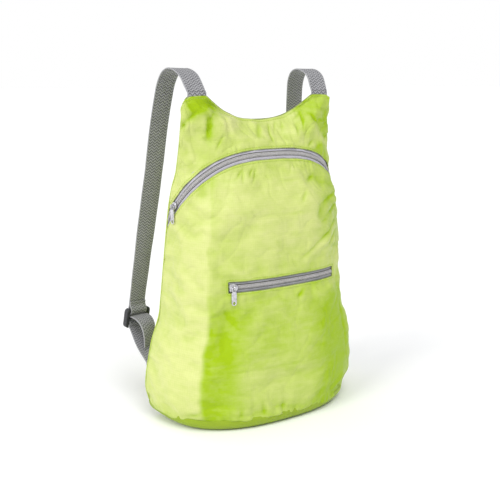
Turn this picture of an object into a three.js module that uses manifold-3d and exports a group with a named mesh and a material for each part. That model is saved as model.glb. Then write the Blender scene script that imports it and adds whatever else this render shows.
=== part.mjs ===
// Packable backpack: a light ripstop bag with an arched main zip, a front pocket zip and webbing straps.
// Millimetres. +Z is up, the zips face -Y, and the origin is on the floor under the middle of the base.
import * as THREE from 'three';
import { mergeVertices } from 'three/addons/utils/BufferGeometryUtils.js';
import Module from 'manifold-3d';

const wasm = await Module();
wasm.setup();

// Bag body
const BAG_HEIGHT = 393; // floor to the top of the shoulders
const WIDEST = 278; // across the side seams, low on the bag
const BODY_DEPTH = 116; // back panel to front, low on the bag
const FABRIC = 1.5; // wall of every fabric panel
const SEAM_GAP = 0.3; // clearance between two sewn pieces
const BACK_GAP = 0.55; // clearance between the back panel and the panels sewn to its edges
const BASE_SEAM = 16; // height of the seam round the base panel
const BASE_ROUND = 14; // radius where the base turns up
const BASE_BACK_TURN = 20; // depth over which the base's rim runs out to the back panel's face
const BACK_BULGE = 7; // how far the middle of the back panel stands out
const BULGE_EASE = 60; // distance from its top and bottom over which it does

// Top edge
const NECK_WIDTH = 154; // between the inner ends of the shoulders
const NECK_DIP = 28; // how far the neckline hangs below the shoulders
const SHOULDER_ROUND = 8; // width of the rounded outer end of a shoulder
const SHOULDER_DROP = 12; // how far that end falls to the side seam
const TOP_CLOSING = 34; // height over which the front closes onto the back panel
const TOP_SQUARE = 10; // exponent of the rounded oblong where it has closed

// Zips
const ARCH_BELOW_TOP = 68; // top of the main zip's arch, below the shoulders
const ARCH_DROP = 76; // from the arch's top down to its ends in the side seams
const ZIP_SHOWING = 12; // width of zip between two fabric edges
const POCKET_HEIGHT = 176; // pocket zip above the floor
const POCKET_LENGTH = 156;
const COIL_WIDTH = 5.2;
const TAPE_THICK = 0.8;
const TAPE_MARGIN = 6; // tape hidden under each fabric edge
const TAPE_CLEARANCE = 0.5; // under the fabric
const COIL_SINK = 0.5; // face of the coil below the face of the fabric
const TAPE_TO_ROW = 2; // from a pocket tape's hidden edge to the next row of the front panel

// Sliders and pulls
const SLIDER_LENGTH = 10;
const SLIDER_WIDTH = 8.6;
const SLIDER_THICK = 2;
const SLIDER_CLEARANCE = 0.35; // above the coil
const SLIDER_FROM_SEAM = 17; // middle of the main slider to the left side seam, round the cloth
const SLIDER_FROM_END = 0.5; // pocket slider to the left end of its zip
const BAIL_THICK = 1.4;
const BAIL_WALL = 1.3;
const PULL_LENGTH = 21; // hinge to the tip
const PULL_WIDTH = 6;
const PULL_THICK = 1.2;
const PULL_BAR = 1.4; // bar of the pull that turns under the bail
const PULL_WALL = 1.2; // each side of the pull's eye
const PULL_CLEARANCE = 0.6;
const PULL_CHAMFER = 0.5;
const PULL_EYE_SPARE = 1; // room under the bail in the pull's eye

// Webbing and ladder-lock buckles
const WEBBING_WIDTH = 25;
const WEBBING_THICK = 1.5;
const STRAP_CLEARANCE = 0.3;
const STRAP_FROM_SHOULDER = 16.86; // middle of a strap, inwards from the outer end of its shoulder
const STRAP_TUCK = 12; // strap hidden between the yoke and the back panel
const SLOT_EASE = 8; // distance beside a strap over which its slot closes
const SLOT_SPARE = 1.12; // widens the slot because the front opens a little below the top edge
const WEBBING_STEP = 9; // between two cross-sections of the webbing
const LOOP_STEP = 0.4; // radians between them where it turns round a bar
const BUCKLE_BAR = 3; // height of each of the three bars
const BUCKLE_THICK = 2.6;
const BUCKLE_SIDE = 5; // width of each side rail
const BUCKLE_SPARE = 1; // between a rail and the webbing's edge
const BUCKLE_RIM = 3; // length of a rail past the first and last bar
const BUCKLE_RAIL_THICK = 7;
const HEM_LENGTH = 13; // strap sewn back onto itself above the buckle
const STRAP_TURN = 11; // degrees that the webbing has turned about the vertical at the buckle
const STRAP_TURN_HEIGHT = 240; // above the floor, where it begins to turn
const TAIL_TURN = 36; // and at the tail's end
const TAIL_LEAVES = 110; // degrees round the middle bar at which the tail leaves it
const ANCHOR_HEIGHT = 50; // end of the lower strap on the back panel, above the floor
const ANCHOR_SEAM = 12; // length of the lower strap sewn flat on the back panel
const ANCHOR_INSET = 3; // lower strap's edge to the side seam
const ANCHOR_LIFT = 5; // height over which it leaves the back panel
const LOWER_SAG = 3; // how far the lower strap's middle hangs out of a straight line

// Levels of the bag. level is a share of BAG_HEIGHT, width of WIDEST, back and depth of BODY_DEPTH,
// and square is the exponent of the rounded oblong that the front wraps round.
const SECTIONS = [
  { level: 0.0, width: 0.95, back: 0.43, depth: 0.925, square: 2.4 },
  { level: 0.04, width: 0.972, back: 0.46, depth: 0.97, square: 2.5 },
  { level: 0.1, width: 1.0, back: 0.475, depth: 1.0, square: 2.7 },
  { level: 0.23, width: 0.948, back: 0.462, depth: 0.965, square: 2.9 },
  { level: 0.35, width: 0.864, back: 0.422, depth: 0.885, square: 3.0 },
  { level: 0.54, width: 0.849, back: 0.32, depth: 0.73, square: 2.75 },
  { level: 0.665, width: 0.83, back: 0.268, depth: 0.655, square: 2.5 },
  { level: 0.73, width: 0.804, back: 0.243, depth: 0.55, square: 2.45 },
  { level: 0.785, width: 0.77, back: 0.214, depth: 0.445, square: 2.45 },
  { level: 0.86, width: 0.762, back: 0.163, depth: 0.315, square: 2.4 },
  { level: 0.935, width: 0.765, back: 0.105, depth: 0.215, square: 2.4 },
  { level: 1.0, width: 0.758, back: 0.06, depth: 0.16, square: 2.4 },
];

// Large folds and dents of the front. across is a share of the half wrap, from the middle to a side
// seam, up, length and width are shares of BAG_HEIGHT, turn is degrees from upright, and out is a
// share of FOLD_SIZE, below zero for a dent.
const FOLD_SIZE = 5;
const SEAM_HOLD = 20; // distance from a seam over which folds die out
const ZIP_HOLD = 16; // and from a zip
const FOLDS = [
  { across: -0.56, up: 0.33, turn: 0, length: 0.24, width: 0.03, out: 0.7 },
  { across: -0.46, up: 0.33, turn: 2, length: 0.09, width: 0.035, out: -0.8 },
  { across: -0.45, up: 0.12, turn: -6, length: 0.06, width: 0.04, out: -0.7 },
  { across: 0.2, up: 0.16, turn: 84, length: 0.2, width: 0.02, out: -0.35 },
  { across: 0.25, up: 0.3, turn: 25, length: 0.16, width: 0.06, out: 0.5 },
  { across: 0.56, up: 0.28, turn: -4, length: 0.2, width: 0.035, out: 0.5 },
  { across: -0.75, up: 0.42, turn: -14, length: 0.14, width: 0.03, out: 0.45 },
  { across: -0.8, up: 0.2, turn: 12, length: 0.1, width: 0.03, out: -0.45 },
  { across: -0.3, up: 0.6, turn: 50, length: 0.1, width: 0.035, out: -0.4 },
  { across: 0.3, up: 0.62, turn: -40, length: 0.12, width: 0.04, out: 0.35 },
  { across: -0.36, up: 0.92, turn: 4, length: 0.035, width: 0.014, out: -0.55 },
  { across: 0.25, up: 0.89, turn: -12, length: 0.04, width: 0.014, out: 0.5 },
  { across: 0.36, up: 0.88, turn: 32, length: 0.035, width: 0.014, out: -0.4 },
];

// Upper strap behind the bag. left and right are how far back each strap stands, up is the height,
// and splay is how far it has swung outwards, all in shares of BAG_HEIGHT.
const STRAP_ROUTE = [
  { left: 0.032, right: 0.024, up: 1.025, splay: 0 },
  { left: 0.061, right: 0.04, up: 1.056, splay: 0 },
  { left: 0.098, right: 0.068, up: 1.073, splay: 0 },
  { left: 0.135, right: 0.1, up: 1.078, splay: 0 },
  { left: 0.168, right: 0.13, up: 1.066, splay: 0.002 },
  { left: 0.191, right: 0.149, up: 1.038, splay: 0.005 },
  { left: 0.207, right: 0.161, up: 0.985, splay: 0.01 },
  { left: 0.225, right: 0.175, up: 0.895, splay: 0.018 },
  { left: 0.239, right: 0.192, up: 0.776, splay: 0.029 },
  { left: 0.257, right: 0.214, up: 0.657, splay: 0.04 },
  { left: 0.276, right: 0.241, up: 0.537, splay: 0.051 },
  { left: 0.293, right: 0.268, up: 0.418, splay: 0.062 },
  { left: 0.304, right: 0.287, up: 0.333, splay: 0.07 },
];

// Free tail of the lower strap from the buckle's middle bar: how far it has gone forwards and down,
// in millimetres, because it keeps its own length.
const TAIL_ROUTE = [
  { forward: 0, down: 0 },
  { forward: 9, down: -0.5 },
  { forward: 20, down: 1 },
  { forward: 29, down: 7 },
  { forward: 33, down: 18 },
  { forward: 32, down: 32 },
];

// Colours from the photograph: sRGB, roughness and metalness
const FINISHES = {
  shell: { colour: 0xc9dc5a, roughness: 0.55, metalness: 0 },
  base: { colour: 0xa3c132, roughness: 0.6, metalness: 0 },
  tape: { colour: 0xa7a6ae, roughness: 0.8, metalness: 0 },
  pocketTape: { colour: 0x85848a, roughness: 0.8, metalness: 0 },
  coil: { colour: 0x8f8e96, roughness: 0.5, metalness: 0 },
  metal: { colour: 0xb9b9bd, roughness: 0.3, metalness: 1 },
  webbing: { colour: 0x808083, roughness: 0.85, metalness: 0 },
  buckle: { colour: 0x38393b, roughness: 0.5, metalness: 0 },
};

const clamp = THREE.MathUtils.clamp;
const lerp = THREE.MathUtils.lerp;
const vec = (x, y, z) => new THREE.Vector3(x, y, z);

// A smooth curve through one column of a table, with no overshoot between its rows.
function columnCurve(rows, key, scale) {
  const at = rows.map((row) => row.level * BAG_HEIGHT);
  const value = rows.map((row) => row[key] * scale);
  const slope = at.slice(1).map((_, k) => (value[k + 1] - value[k]) / (at[k + 1] - at[k]));
  const tangent = value.map((_, k) => {
    if (k === 0) return slope[0];
    if (k === value.length - 1) return slope[k - 1];
    if (slope[k - 1] * slope[k] <= 0) return 0;
    return (2 * slope[k - 1] * slope[k]) / (slope[k - 1] + slope[k]);
  });
  return (z) => {
    const top = at.length - 1;
    const k = clamp(at.findIndex((level) => level > z) - 1, 0, top - 1);
    const row = z >= at[top] ? top - 1 : k;
    const step = at[row + 1] - at[row];
    const t = clamp((z - at[row]) / step, 0, 1);
    return (
      value[row] * (1 + 2 * t) * (1 - t) ** 2 +
      value[row + 1] * t * t * (3 - 2 * t) +
      tangent[row] * step * t * (1 - t) ** 2 +
      tangent[row + 1] * step * t * t * (t - 1)
    );
  };
}

const halfWidthAt = columnCurve(SECTIONS, 'width', WIDEST / 2);
const backAt = columnCurve(SECTIONS, 'back', BODY_DEPTH);
const depthAt = columnCurve(SECTIONS, 'depth', BODY_DEPTH);
const squareAt = columnCurve(SECTIONS, 'square', 1);

const STRAP_SPACING = 2 * (halfWidthAt(BAG_HEIGHT) - STRAP_FROM_SHOULDER); // between the two straps

// Place on a rounded oblong of half width 1 and depth 1, from the left side seam at angle 0.
function oblong(angle, square) {
  const c = Math.cos(angle);
  const s = Math.abs(Math.sin(angle));
  const shrink = (Math.abs(c) ** square + s ** square) ** (-1 / square);
  return { c: c * shrink, s: s * shrink };
}

// Angles at even steps of cloth round the front at the pocket's height, and the length of that cloth.
function measureWrap(z) {
  const steps = 600;
  const lengths = [0];
  let last = null;
  for (let k = 0; k <= steps; k += 1) {
    const { c, s } = oblong((Math.PI * k) / steps, squareAt(z));
    const point = new THREE.Vector2(c * halfWidthAt(z), s * depthAt(z));
    if (last) lengths.push(lengths[k - 1] + point.distanceTo(last));
    last = point;
  }
  const angleAt = (u) => {
    const target = ((clamp(u, -1, 1) + 1) / 2) * lengths[steps];
    const k = clamp(lengths.findIndex((length) => length >= target), 1, steps);
    const t = (target - lengths[k - 1]) / (lengths[k] - lengths[k - 1]);
    return (Math.PI * (k - 1 + t)) / steps;
  };
  return { half: lengths[steps] / 2, angleAt };
}

const WRAP = measureWrap(POCKET_HEIGHT);

// Height of the bag's top edge at a distance from the middle.
function topEdge(x) {
  const neck = Math.min(Math.abs(x) / (NECK_WIDTH / 2), 1);
  const dip = NECK_DIP * (1 - neck ** 2.6) ** 1.2;
  const shoulderEnd = halfWidthAt(BAG_HEIGHT);
  const corner = clamp((Math.abs(x) - shoulderEnd + SHOULDER_ROUND) / SHOULDER_ROUND, 0, 1);
  return BAG_HEIGHT - dip - SHOULDER_DROP * (1 - Math.sqrt(1 - corner * corner));
}

// Room between the yoke and the back panel for a strap's end, only where a strap is.
const STRAP_SLOT = WEBBING_THICK + 2 * STRAP_CLEARANCE - BACK_GAP;
function strapRoom(x) {
  const fromStrap = Math.abs(Math.abs(x) - STRAP_SPACING / 2) - WEBBING_WIDTH / 2;
  return STRAP_SLOT * (1 - THREE.MathUtils.smoothstep(fromStrap, STRAP_CLEARANCE, SLOT_EASE));
}

function foldOut(u, z) {
  let out = 0;
  for (const fold of FOLDS) {
    const side = (u - fold.across) * WRAP.half;
    const rise = z - fold.up * BAG_HEIGHT;
    const turn = THREE.MathUtils.degToRad(fold.turn);
    const along = (rise * Math.cos(turn) + side * Math.sin(turn)) / (fold.length * BAG_HEIGHT);
    const across = (side * Math.cos(turn) - rise * Math.sin(turn)) / (fold.width * BAG_HEIGHT);
    out += fold.out * FOLD_SIZE * Math.exp(-across * across - along ** 4);
  }
  return out;
}

const pocketHeight = () => POCKET_HEIGHT;
const archHeight = (u) => BAG_HEIGHT - ARCH_BELOW_TOP - ARCH_DROP * Math.abs(u) ** 2.7;

// Folds die out towards the seams and zips, which hold the cloth flat.
function foldHold(u, z, toTop) {
  const ease = (distance, reach) => THREE.MathUtils.smoothstep(distance, 0, reach);
  const pastSide = Math.abs(z - POCKET_HEIGHT) - ZIP_SHOWING / 2 - TAPE_MARGIN;
  const pastEnd = Math.abs(u) * WRAP.half - POCKET_LENGTH / 2 - TAPE_MARGIN;
  return (
    ease((1 - Math.abs(u)) * WRAP.half, SEAM_HOLD) *
    ease(toTop, SEAM_HOLD) *
    ease(z - BASE_SEAM, SEAM_HOLD) *
    ease(Math.abs(z - archHeight(u)) - ZIP_SHOWING, ZIP_HOLD) *
    ease(Math.max(pastSide, pastEnd), ZIP_HOLD)
  );
}

// The bag's front and sides. u runs round the cloth from the left side seam at -1 to the right one
// at 1, and inset is the distance inwards from the outer face.
function shellPoint(u, z, inset = 0) {
  const half = halfWidthAt(z);
  const angle = WRAP.angleAt(u);
  const rough = oblong(angle, squareAt(z));
  const toTop = Math.max(topEdge(half * rough.c) - z, 0);
  const open = 1 - (1 - Math.min(toTop / TOP_CLOSING, 1)) ** 2;
  const square = lerp(squareAt(z), TOP_SQUARE, (1 - open) ** 1.5);
  const { c, s } = oblong(angle, square);
  const room = FABRIC + strapRoom(half * c) * SLOT_SPARE * (1 - open);
  const depth = room + (depthAt(z) - FABRIC) * open;
  const lean = vec((-Math.sign(c) * Math.abs(c) ** (square - 1)) / half, -(s ** (square - 1)) / depth, 0);
  const point = vec(-(half - inset) * c, backAt(z) - (depth - inset) * s, z);
  return point.addScaledVector(lean.normalize(), foldOut(u, z) * foldHold(u, z, toTop));
}

// Two neighbours of the line u, for slopes round the cloth.
const beside = (u, step = 0.01) => [Math.max(u - step, -1), Math.min(u + step, 1)];

function shellNormal(u, z) {
  const [low, high] = beside(u);
  const along = shellPoint(high, z).sub(shellPoint(low, z));
  const up = shellPoint(u, z + 1).sub(shellPoint(u, z - 1));
  return along.cross(up).normalize();
}

// Height on the line u of a curve that keeps a distance from a zip's middle line.
function besideZip(middle, u, distance) {
  const [low, high] = beside(u);
  const tangent = shellPoint(high, middle(high)).sub(shellPoint(low, middle(low))).normalize();
  const across = shellNormal(u, middle(u)).cross(tangent);
  const up = shellPoint(u, middle(u) + 1).sub(shellPoint(u, middle(u) - 1)).multiplyScalar(0.5);
  return middle(u) + distance / up.dot(across);
}

// Height at which a line of the bag meets the top edge. across gives the line's x at a height.
function meetTop(across) {
  let z = BAG_HEIGHT;
  for (let k = 0; k < 30; k += 1) z = lerp(z, topEdge(across(z)), 0.7);
  return z;
}

// A closed solid between two grids of points. faces[i][j] holds { out, in }, and keep drops cells.
function sheetSolid(grid, keep = () => true) {
  const columns = grid.length;
  const rows = grid[0].length;
  const position = [];
  const index = [];
  const used = new Map();
  const id = (i, j, layer) => {
    const key = `${i},${j},${layer}`;
    if (!used.has(key)) {
      used.set(key, position.length / 3);
      position.push(...grid[i][j][layer].toArray());
    }
    return used.get(key);
  };
  const kept = (i, j) => i >= 0 && j >= 0 && i < columns - 1 && j < rows - 1 && keep(i, j);
  const wall = (i0, j0, i1, j1) => {
    const [a, b] = [id(i0, j0, 'out'), id(i1, j1, 'out')];
    const [c, d] = [id(i0, j0, 'in'), id(i1, j1, 'in')];
    index.push(a, c, b, b, c, d);
  };
  for (let i = 0; i < columns - 1; i += 1) {
    for (let j = 0; j < rows - 1; j += 1) {
      if (!kept(i, j)) continue;
      const corners = [[i, j], [i + 1, j], [i + 1, j + 1], [i, j + 1]];
      const o = corners.map(([a, b]) => id(a, b, 'out'));
      const n = corners.map(([a, b]) => id(a, b, 'in'));
      index.push(o[0], o[1], o[2], o[0], o[2], o[3]);
      index.push(n[0], n[2], n[1], n[0], n[3], n[2]);
      if (!kept(i, j - 1)) wall(i, j, i + 1, j);
      if (!kept(i + 1, j)) wall(i + 1, j, i + 1, j + 1);
      if (!kept(i, j + 1)) wall(i + 1, j + 1, i, j + 1);
      if (!kept(i - 1, j)) wall(i, j + 1, i, j);
    }
  }
  const geometry = new THREE.BufferGeometry();
  geometry.setAttribute('position', new THREE.Float32BufferAttribute(position, 3));
  geometry.setIndex(index);
  geometry.computeVertexNormals();
  return geometry;
}

// A closed solid through rings of equal length, closed at each end by a fan of triangles.
function ringSolid(rings) {
  const count = rings[0].length;
  const position = rings.flat().flatMap((point) => point.toArray());
  const index = [];
  for (let k = 0; k < rings.length - 1; k += 1) {
    for (let i = 0; i < count; i += 1) {
      const a = k * count + i;
      const b = k * count + ((i + 1) % count);
      index.push(a, b + count, b, a, a + count, b + count);
    }
  }
  const last = (rings.length - 1) * count;
  const middle = (ring) => ring.reduce((sum, point) => sum.add(point), vec(0, 0, 0)).divideScalar(count);
  position.push(...middle(rings[0]).toArray(), ...middle(rings.at(-1)).toArray());
  const first = rings.length * count;
  for (let i = 0; i < count; i += 1) {
    const next = (i + 1) % count;
    index.push(first, i, next, first + 1, last + next, last + i);
  }
  const geometry = new THREE.BufferGeometry();
  geometry.setAttribute('position', new THREE.Float32BufferAttribute(position, 3));
  geometry.setIndex(index);
  geometry.computeVertexNormals();
  return geometry;
}

const bag = new THREE.Group();

function addMesh(name, geometry, finish) {
  const material = new THREE.MeshStandardMaterial({
    color: finish.colour,
    roughness: finish.roughness,
    metalness: finish.metalness,
  });
  const mesh = new THREE.Mesh(geometry, material);
  mesh.name = name;
  bag.add(mesh);
  return mesh;
}

const evenly = (from, to, steps) => Array.from({ length: steps + 1 }, (_, k) => lerp(from, to, k / steps));

// Lines of cloth round the front, with one at each end of the pocket zip.
const POCKET_END = POCKET_LENGTH / 2 / WRAP.half;
const LINES = [
  ...evenly(-1, -POCKET_END, 12).slice(0, -1),
  ...evenly(-POCKET_END, POCKET_END, 16),
  ...evenly(POCKET_END, 1, 12).slice(1),
];

const bothFaces = (u, z, inset = 0, thick = FABRIC) => ({
  out: shellPoint(u, z, inset),
  in: shellPoint(u, z, inset + thick),
});

// Lower front and sides, from the base seam to the main zip, with a slot for the pocket zip.
function frontPanel() {
  const rowsBelow = 10;
  const grid = LINES.map((u) => {
    const slotLow = besideZip(pocketHeight, u, -ZIP_SHOWING / 2);
    const slotHigh = besideZip(pocketHeight, u, ZIP_SHOWING / 2);
    const top = besideZip(archHeight, u, -ZIP_SHOWING / 2);
    const tapeLow = slotLow - TAPE_MARGIN - TAPE_TO_ROW;
    const heights = [
      ...evenly(BASE_SEAM + SEAM_GAP, tapeLow, rowsBelow - 1),
      slotLow,
      ...evenly(slotHigh, top, 11),
    ];
    return heights.map((z) => bothFaces(u, z));
  });
  const inSlot = (i, j) => j === rowsBelow && Math.abs(LINES[i] + LINES[i + 1]) / 2 < POCKET_END;
  return sheetSolid(grid, (i, j) => !inSlot(i, j));
}

// Upper front, from the main zip to the neckline and the shoulders.
function yokePanel() {
  const grid = LINES.map((u) => {
    const low = besideZip(archHeight, u, ZIP_SHOWING / 2);
    const top = meetTop((z) => shellPoint(u, z).x);
    return evenly(low, top, 8).map((z) => bothFaces(u, z));
  });
  return sheetSolid(grid);
}

// The back panel stands a little behind the side edges of the front and the yoke.
const BACK_COLUMNS = 20;
function backPoint(share, z, inset) {
  const edge = shellPoint(Math.sign(share) || 1, z);
  const x = Math.abs(edge.x) * share;
  const toEdge = Math.min(topEdge(x) - z, z - BASE_SEAM) / BULGE_EASE;
  const bulge = BACK_BULGE * (1 - share * share) * Math.sin((Math.PI / 2) * clamp(toEdge, 0, 1));
  return vec(x, backAt(z) + BACK_GAP + FABRIC - inset + bulge, z);
}

function backPanel() {
  const grid = evenly(1, -1, BACK_COLUMNS).map((share) => {
    const top = meetTop((z) => backPoint(share, z, 0).x);
    const below = top - 3 * STRAP_TUCK;
    const heights = [...evenly(BASE_SEAM + SEAM_GAP, below, 14).slice(0, -1), ...evenly(below, top, 5)];
    return heights.map((z) => ({ out: backPoint(share, z, 0), in: backPoint(share, z, FABRIC) }));
  });
  return sheetSolid(grid);
}

// Outline of the bag at one level, round the front and back across, moved inwards by a distance.
function outline(z, inwards) {
  const front = LINES.map((u) => shellPoint(u, z, inwards));
  const across = evenly(1, -1, BACK_COLUMNS / 2).slice(1, -1);
  const half = front.at(-1).x;
  const behind = across.map((share) => vec(half * share, backAt(z) - inwards, z));
  front[0].y -= inwards;
  front.at(-1).y -= inwards;
  const backEdge = BACK_GAP + FABRIC;
  return [...front, ...behind].map((point) => {
    const near = clamp(1 - (backAt(z) - inwards - point.y) / BASE_BACK_TURN, 0, 1);
    return vec(point.x, point.y + backEdge * near, z);
  });
}

// Base panel: a flat bottom that turns up into a low rim.
function basePanel() {
  const turnUp = evenly(0, Math.PI / 2, 4);
  const faces = (wall) => {
    const radius = BASE_ROUND - wall;
    const bend = turnUp.map((angle) => {
      const ring = outline(BASE_ROUND, wall + radius * (1 - Math.sin(angle)));
      return ring.map((point) => point.setZ(BASE_ROUND - radius * Math.cos(angle)));
    });
    return [...bend, outline(BASE_SEAM, wall)];
  };
  return ringSolid([...faces(FABRIC), ...faces(0).reverse()]);
}

// One strip of a zip, between two distances from its middle line and at a depth under the cloth.
function zipStrip(middle, lines, from, to, inset, thick) {
  const grid = lines.map((u) =>
    [from, to].map((distance) => bothFaces(u, besideZip(middle, u, distance), inset, thick)),
  );
  return sheetSolid(grid);
}

function addZip(name, middle, lines, coilLines, finish) {
  const tapeInset = FABRIC + TAPE_CLEARANCE;
  const inner = COIL_WIDTH / 2 + SEAM_GAP;
  const outer = ZIP_SHOWING / 2 + TAPE_MARGIN;
  const coilThick = tapeInset + TAPE_THICK - COIL_SINK;
  addMesh(`${name}_tape_upper`, zipStrip(middle, lines, inner, outer, tapeInset, TAPE_THICK), finish);
  addMesh(`${name}_tape_lower`, zipStrip(middle, lines, -outer, -inner, tapeInset, TAPE_THICK), finish);
  const coil = zipStrip(middle, coilLines, -COIL_WIDTH / 2, COIL_WIDTH / 2, COIL_SINK, coilThick);
  addMesh(`${name}_coil`, coil, FINISHES.coil);
}

// Joins closed geometries into one.
function fuse(parts) {
  const solids = parts.map((part) => {
    const bare = part.clone();
    bare.deleteAttribute('normal');
    bare.deleteAttribute('uv');
    const merged = mergeVertices(bare);
    return new wasm.Manifold(
      new wasm.Mesh({
        numProp: 3,
        vertProperties: new Float32Array(merged.attributes.position.array),
        triVerts: new Uint32Array(merged.index.array),
      }),
    );
  });
  const mesh = solids.reduce((whole, solid) => whole.add(solid)).getMesh();
  const geometry = new THREE.BufferGeometry();
  geometry.setAttribute('position', new THREE.BufferAttribute(new Float32Array(mesh.vertProperties), 3));
  geometry.setIndex(Array.from(mesh.triVerts));
  geometry.computeVertexNormals();
  return geometry;
}

const PLATE_TOP = SLIDER_CLEARANCE - COIL_SINK + SLIDER_THICK; // above the face of the cloth
const BAIL_INNER = Math.hypot(PULL_BAR, PULL_THICK) / 2 + PULL_CLEARANCE;
const BAIL_OUTER = BAIL_INNER + BAIL_WALL;
const HINGE_HEIGHT = PLATE_TOP + BAIL_INNER;

// Slider: a shield-shaped plate along the zip, and an upright bail that arches over the pull's bar.
function sliderGeometry(zipAngle) {
  const [l, w] = [SLIDER_LENGTH / 2, SLIDER_WIDTH / 2];
  const shield = new THREE.Shape();
  shield.moveTo(-l, -w * 0.6);
  shield.quadraticCurveTo(-l, -w, -l * 0.6, -w);
  shield.lineTo(l * 0.2, -w);
  shield.quadraticCurveTo(l, -w * 0.8, l, 0);
  shield.quadraticCurveTo(l, w * 0.8, l * 0.2, w);
  shield.lineTo(-l * 0.6, w);
  shield.quadraticCurveTo(-l, w, -l, w * 0.6);
  const plate = new THREE.ExtrudeGeometry(shield, {
    depth: SLIDER_THICK,
    bevelEnabled: false,
    curveSegments: 4,
  });
  plate.rotateZ(zipAngle);
  plate.translate(0, 0, PLATE_TOP - SLIDER_THICK);
  const root = -BAIL_INNER - SLIDER_THICK / 2;
  const arch = new THREE.Shape();
  arch.moveTo(-BAIL_OUTER, root);
  arch.lineTo(BAIL_OUTER, root);
  arch.lineTo(BAIL_OUTER, 0);
  arch.absarc(0, 0, BAIL_OUTER, 0, Math.PI, false);
  arch.holes.push(new THREE.Path().absarc(0, 0, BAIL_INNER, 0, 2 * Math.PI, true));
  const bail = new THREE.ExtrudeGeometry(arch, { depth: BAIL_THICK, bevelEnabled: false, curveSegments: 6 });
  bail.translate(0, 0, -BAIL_THICK / 2);
  bail.rotateX(Math.PI / 2).rotateZ(Math.PI / 2);
  bail.translate(0, 0, HINGE_HEIGHT);
  return fuse([plate, bail]);
}

// Pull: a bar at the origin that turns under the bail, an eye that the bail passes through, and a
// rounded tab with a slot, hanging along -Y.
function pullGeometry() {
  const half = PULL_WIDTH / 2;
  const low = -PULL_LENGTH;
  const top = PULL_BAR / 2;
  const eyeHalf = BAIL_THICK / 2 + PULL_CLEARANCE;
  const eyeLow = -BAIL_OUTER - PULL_EYE_SPARE;
  const shoulder = eyeLow - PULL_WALL;
  const neck = eyeHalf + PULL_WALL;
  const tab = new THREE.Shape();
  tab.moveTo(neck - PULL_CHAMFER, top);
  tab.lineTo(-neck + PULL_CHAMFER, top);
  tab.lineTo(-neck, top - PULL_CHAMFER);
  tab.lineTo(-neck, shoulder);
  tab.lineTo(-half, shoulder - PULL_WALL);
  tab.lineTo(-half, low + half);
  tab.absarc(0, low + half, half, Math.PI, 2 * Math.PI, false);
  tab.lineTo(half, shoulder - PULL_WALL);
  tab.lineTo(neck, shoulder);
  tab.lineTo(neck, top - PULL_CHAMFER);
  const eye = new THREE.Path();
  eye.moveTo(-eyeHalf, -top);
  eye.lineTo(eyeHalf, -top);
  eye.lineTo(eyeHalf, eyeLow);
  eye.lineTo(-eyeHalf, eyeLow);
  const slot = new THREE.Path().absellipse(0, low + half, half * 0.5, half * 0.62, 0, 2 * Math.PI, true);
  tab.holes.push(eye, slot);
  const flat = new THREE.ExtrudeGeometry(tab, { depth: PULL_THICK, bevelEnabled: false, curveSegments: 8 });
  return flat.translate(0, 0, -PULL_THICK / 2);
}

// A slider on its zip, with its pull hanging straight down from a level hinge.
function addSlider(name, middle, u) {
  const z = middle(u);
  const out = shellNormal(u, z);
  const hinge = vec(0, 0, 1).cross(out).normalize();
  const up = out.clone().cross(hinge);
  const [low, high] = beside(u);
  const along = shellPoint(high, middle(high)).sub(shellPoint(low, middle(low)));
  const zipAngle = Math.atan2(along.dot(up), along.dot(hinge));
  const slider = addMesh(`${name}_slider`, sliderGeometry(zipAngle), FINISHES.metal);
  slider.position.copy(shellPoint(u, z));
  slider.quaternion.setFromRotationMatrix(new THREE.Matrix4().makeBasis(hinge, up, out));
  const pull = addMesh(`${name}_pull`, pullGeometry(), FINISHES.metal);
  pull.position.copy(slider.position).addScaledVector(out, HINGE_HEIGHT);
  const level = hinge.clone().cross(vec(0, 0, 1));
  pull.quaternion.setFromRotationMatrix(new THREE.Matrix4().makeBasis(hinge, vec(0, 0, 1), level));
}

// Flat webbing along stations that each hold a place and the direction of the webbing's width.
function webbing(stations) {
  const grid = stations.map(({ at, wide }, k) => {
    const before = stations[Math.max(k - 1, 0)].at;
    const after = stations[Math.min(k + 1, stations.length - 1)].at;
    const run = after.clone().sub(before).normalize();
    const side = wide.clone().addScaledVector(run, -wide.dot(run)).normalize();
    const face = run.clone().cross(side);
    const corner = (across, layer) =>
      at.clone().addScaledVector(side, (across * WEBBING_WIDTH) / 2).addScaledVector(face, layer);
    return [-1, 1].map((across) => ({
      out: corner(across, WEBBING_THICK / 2),
      in: corner(across, -WEBBING_THICK / 2),
    }));
  });
  return sheetSolid(grid);
}

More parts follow.
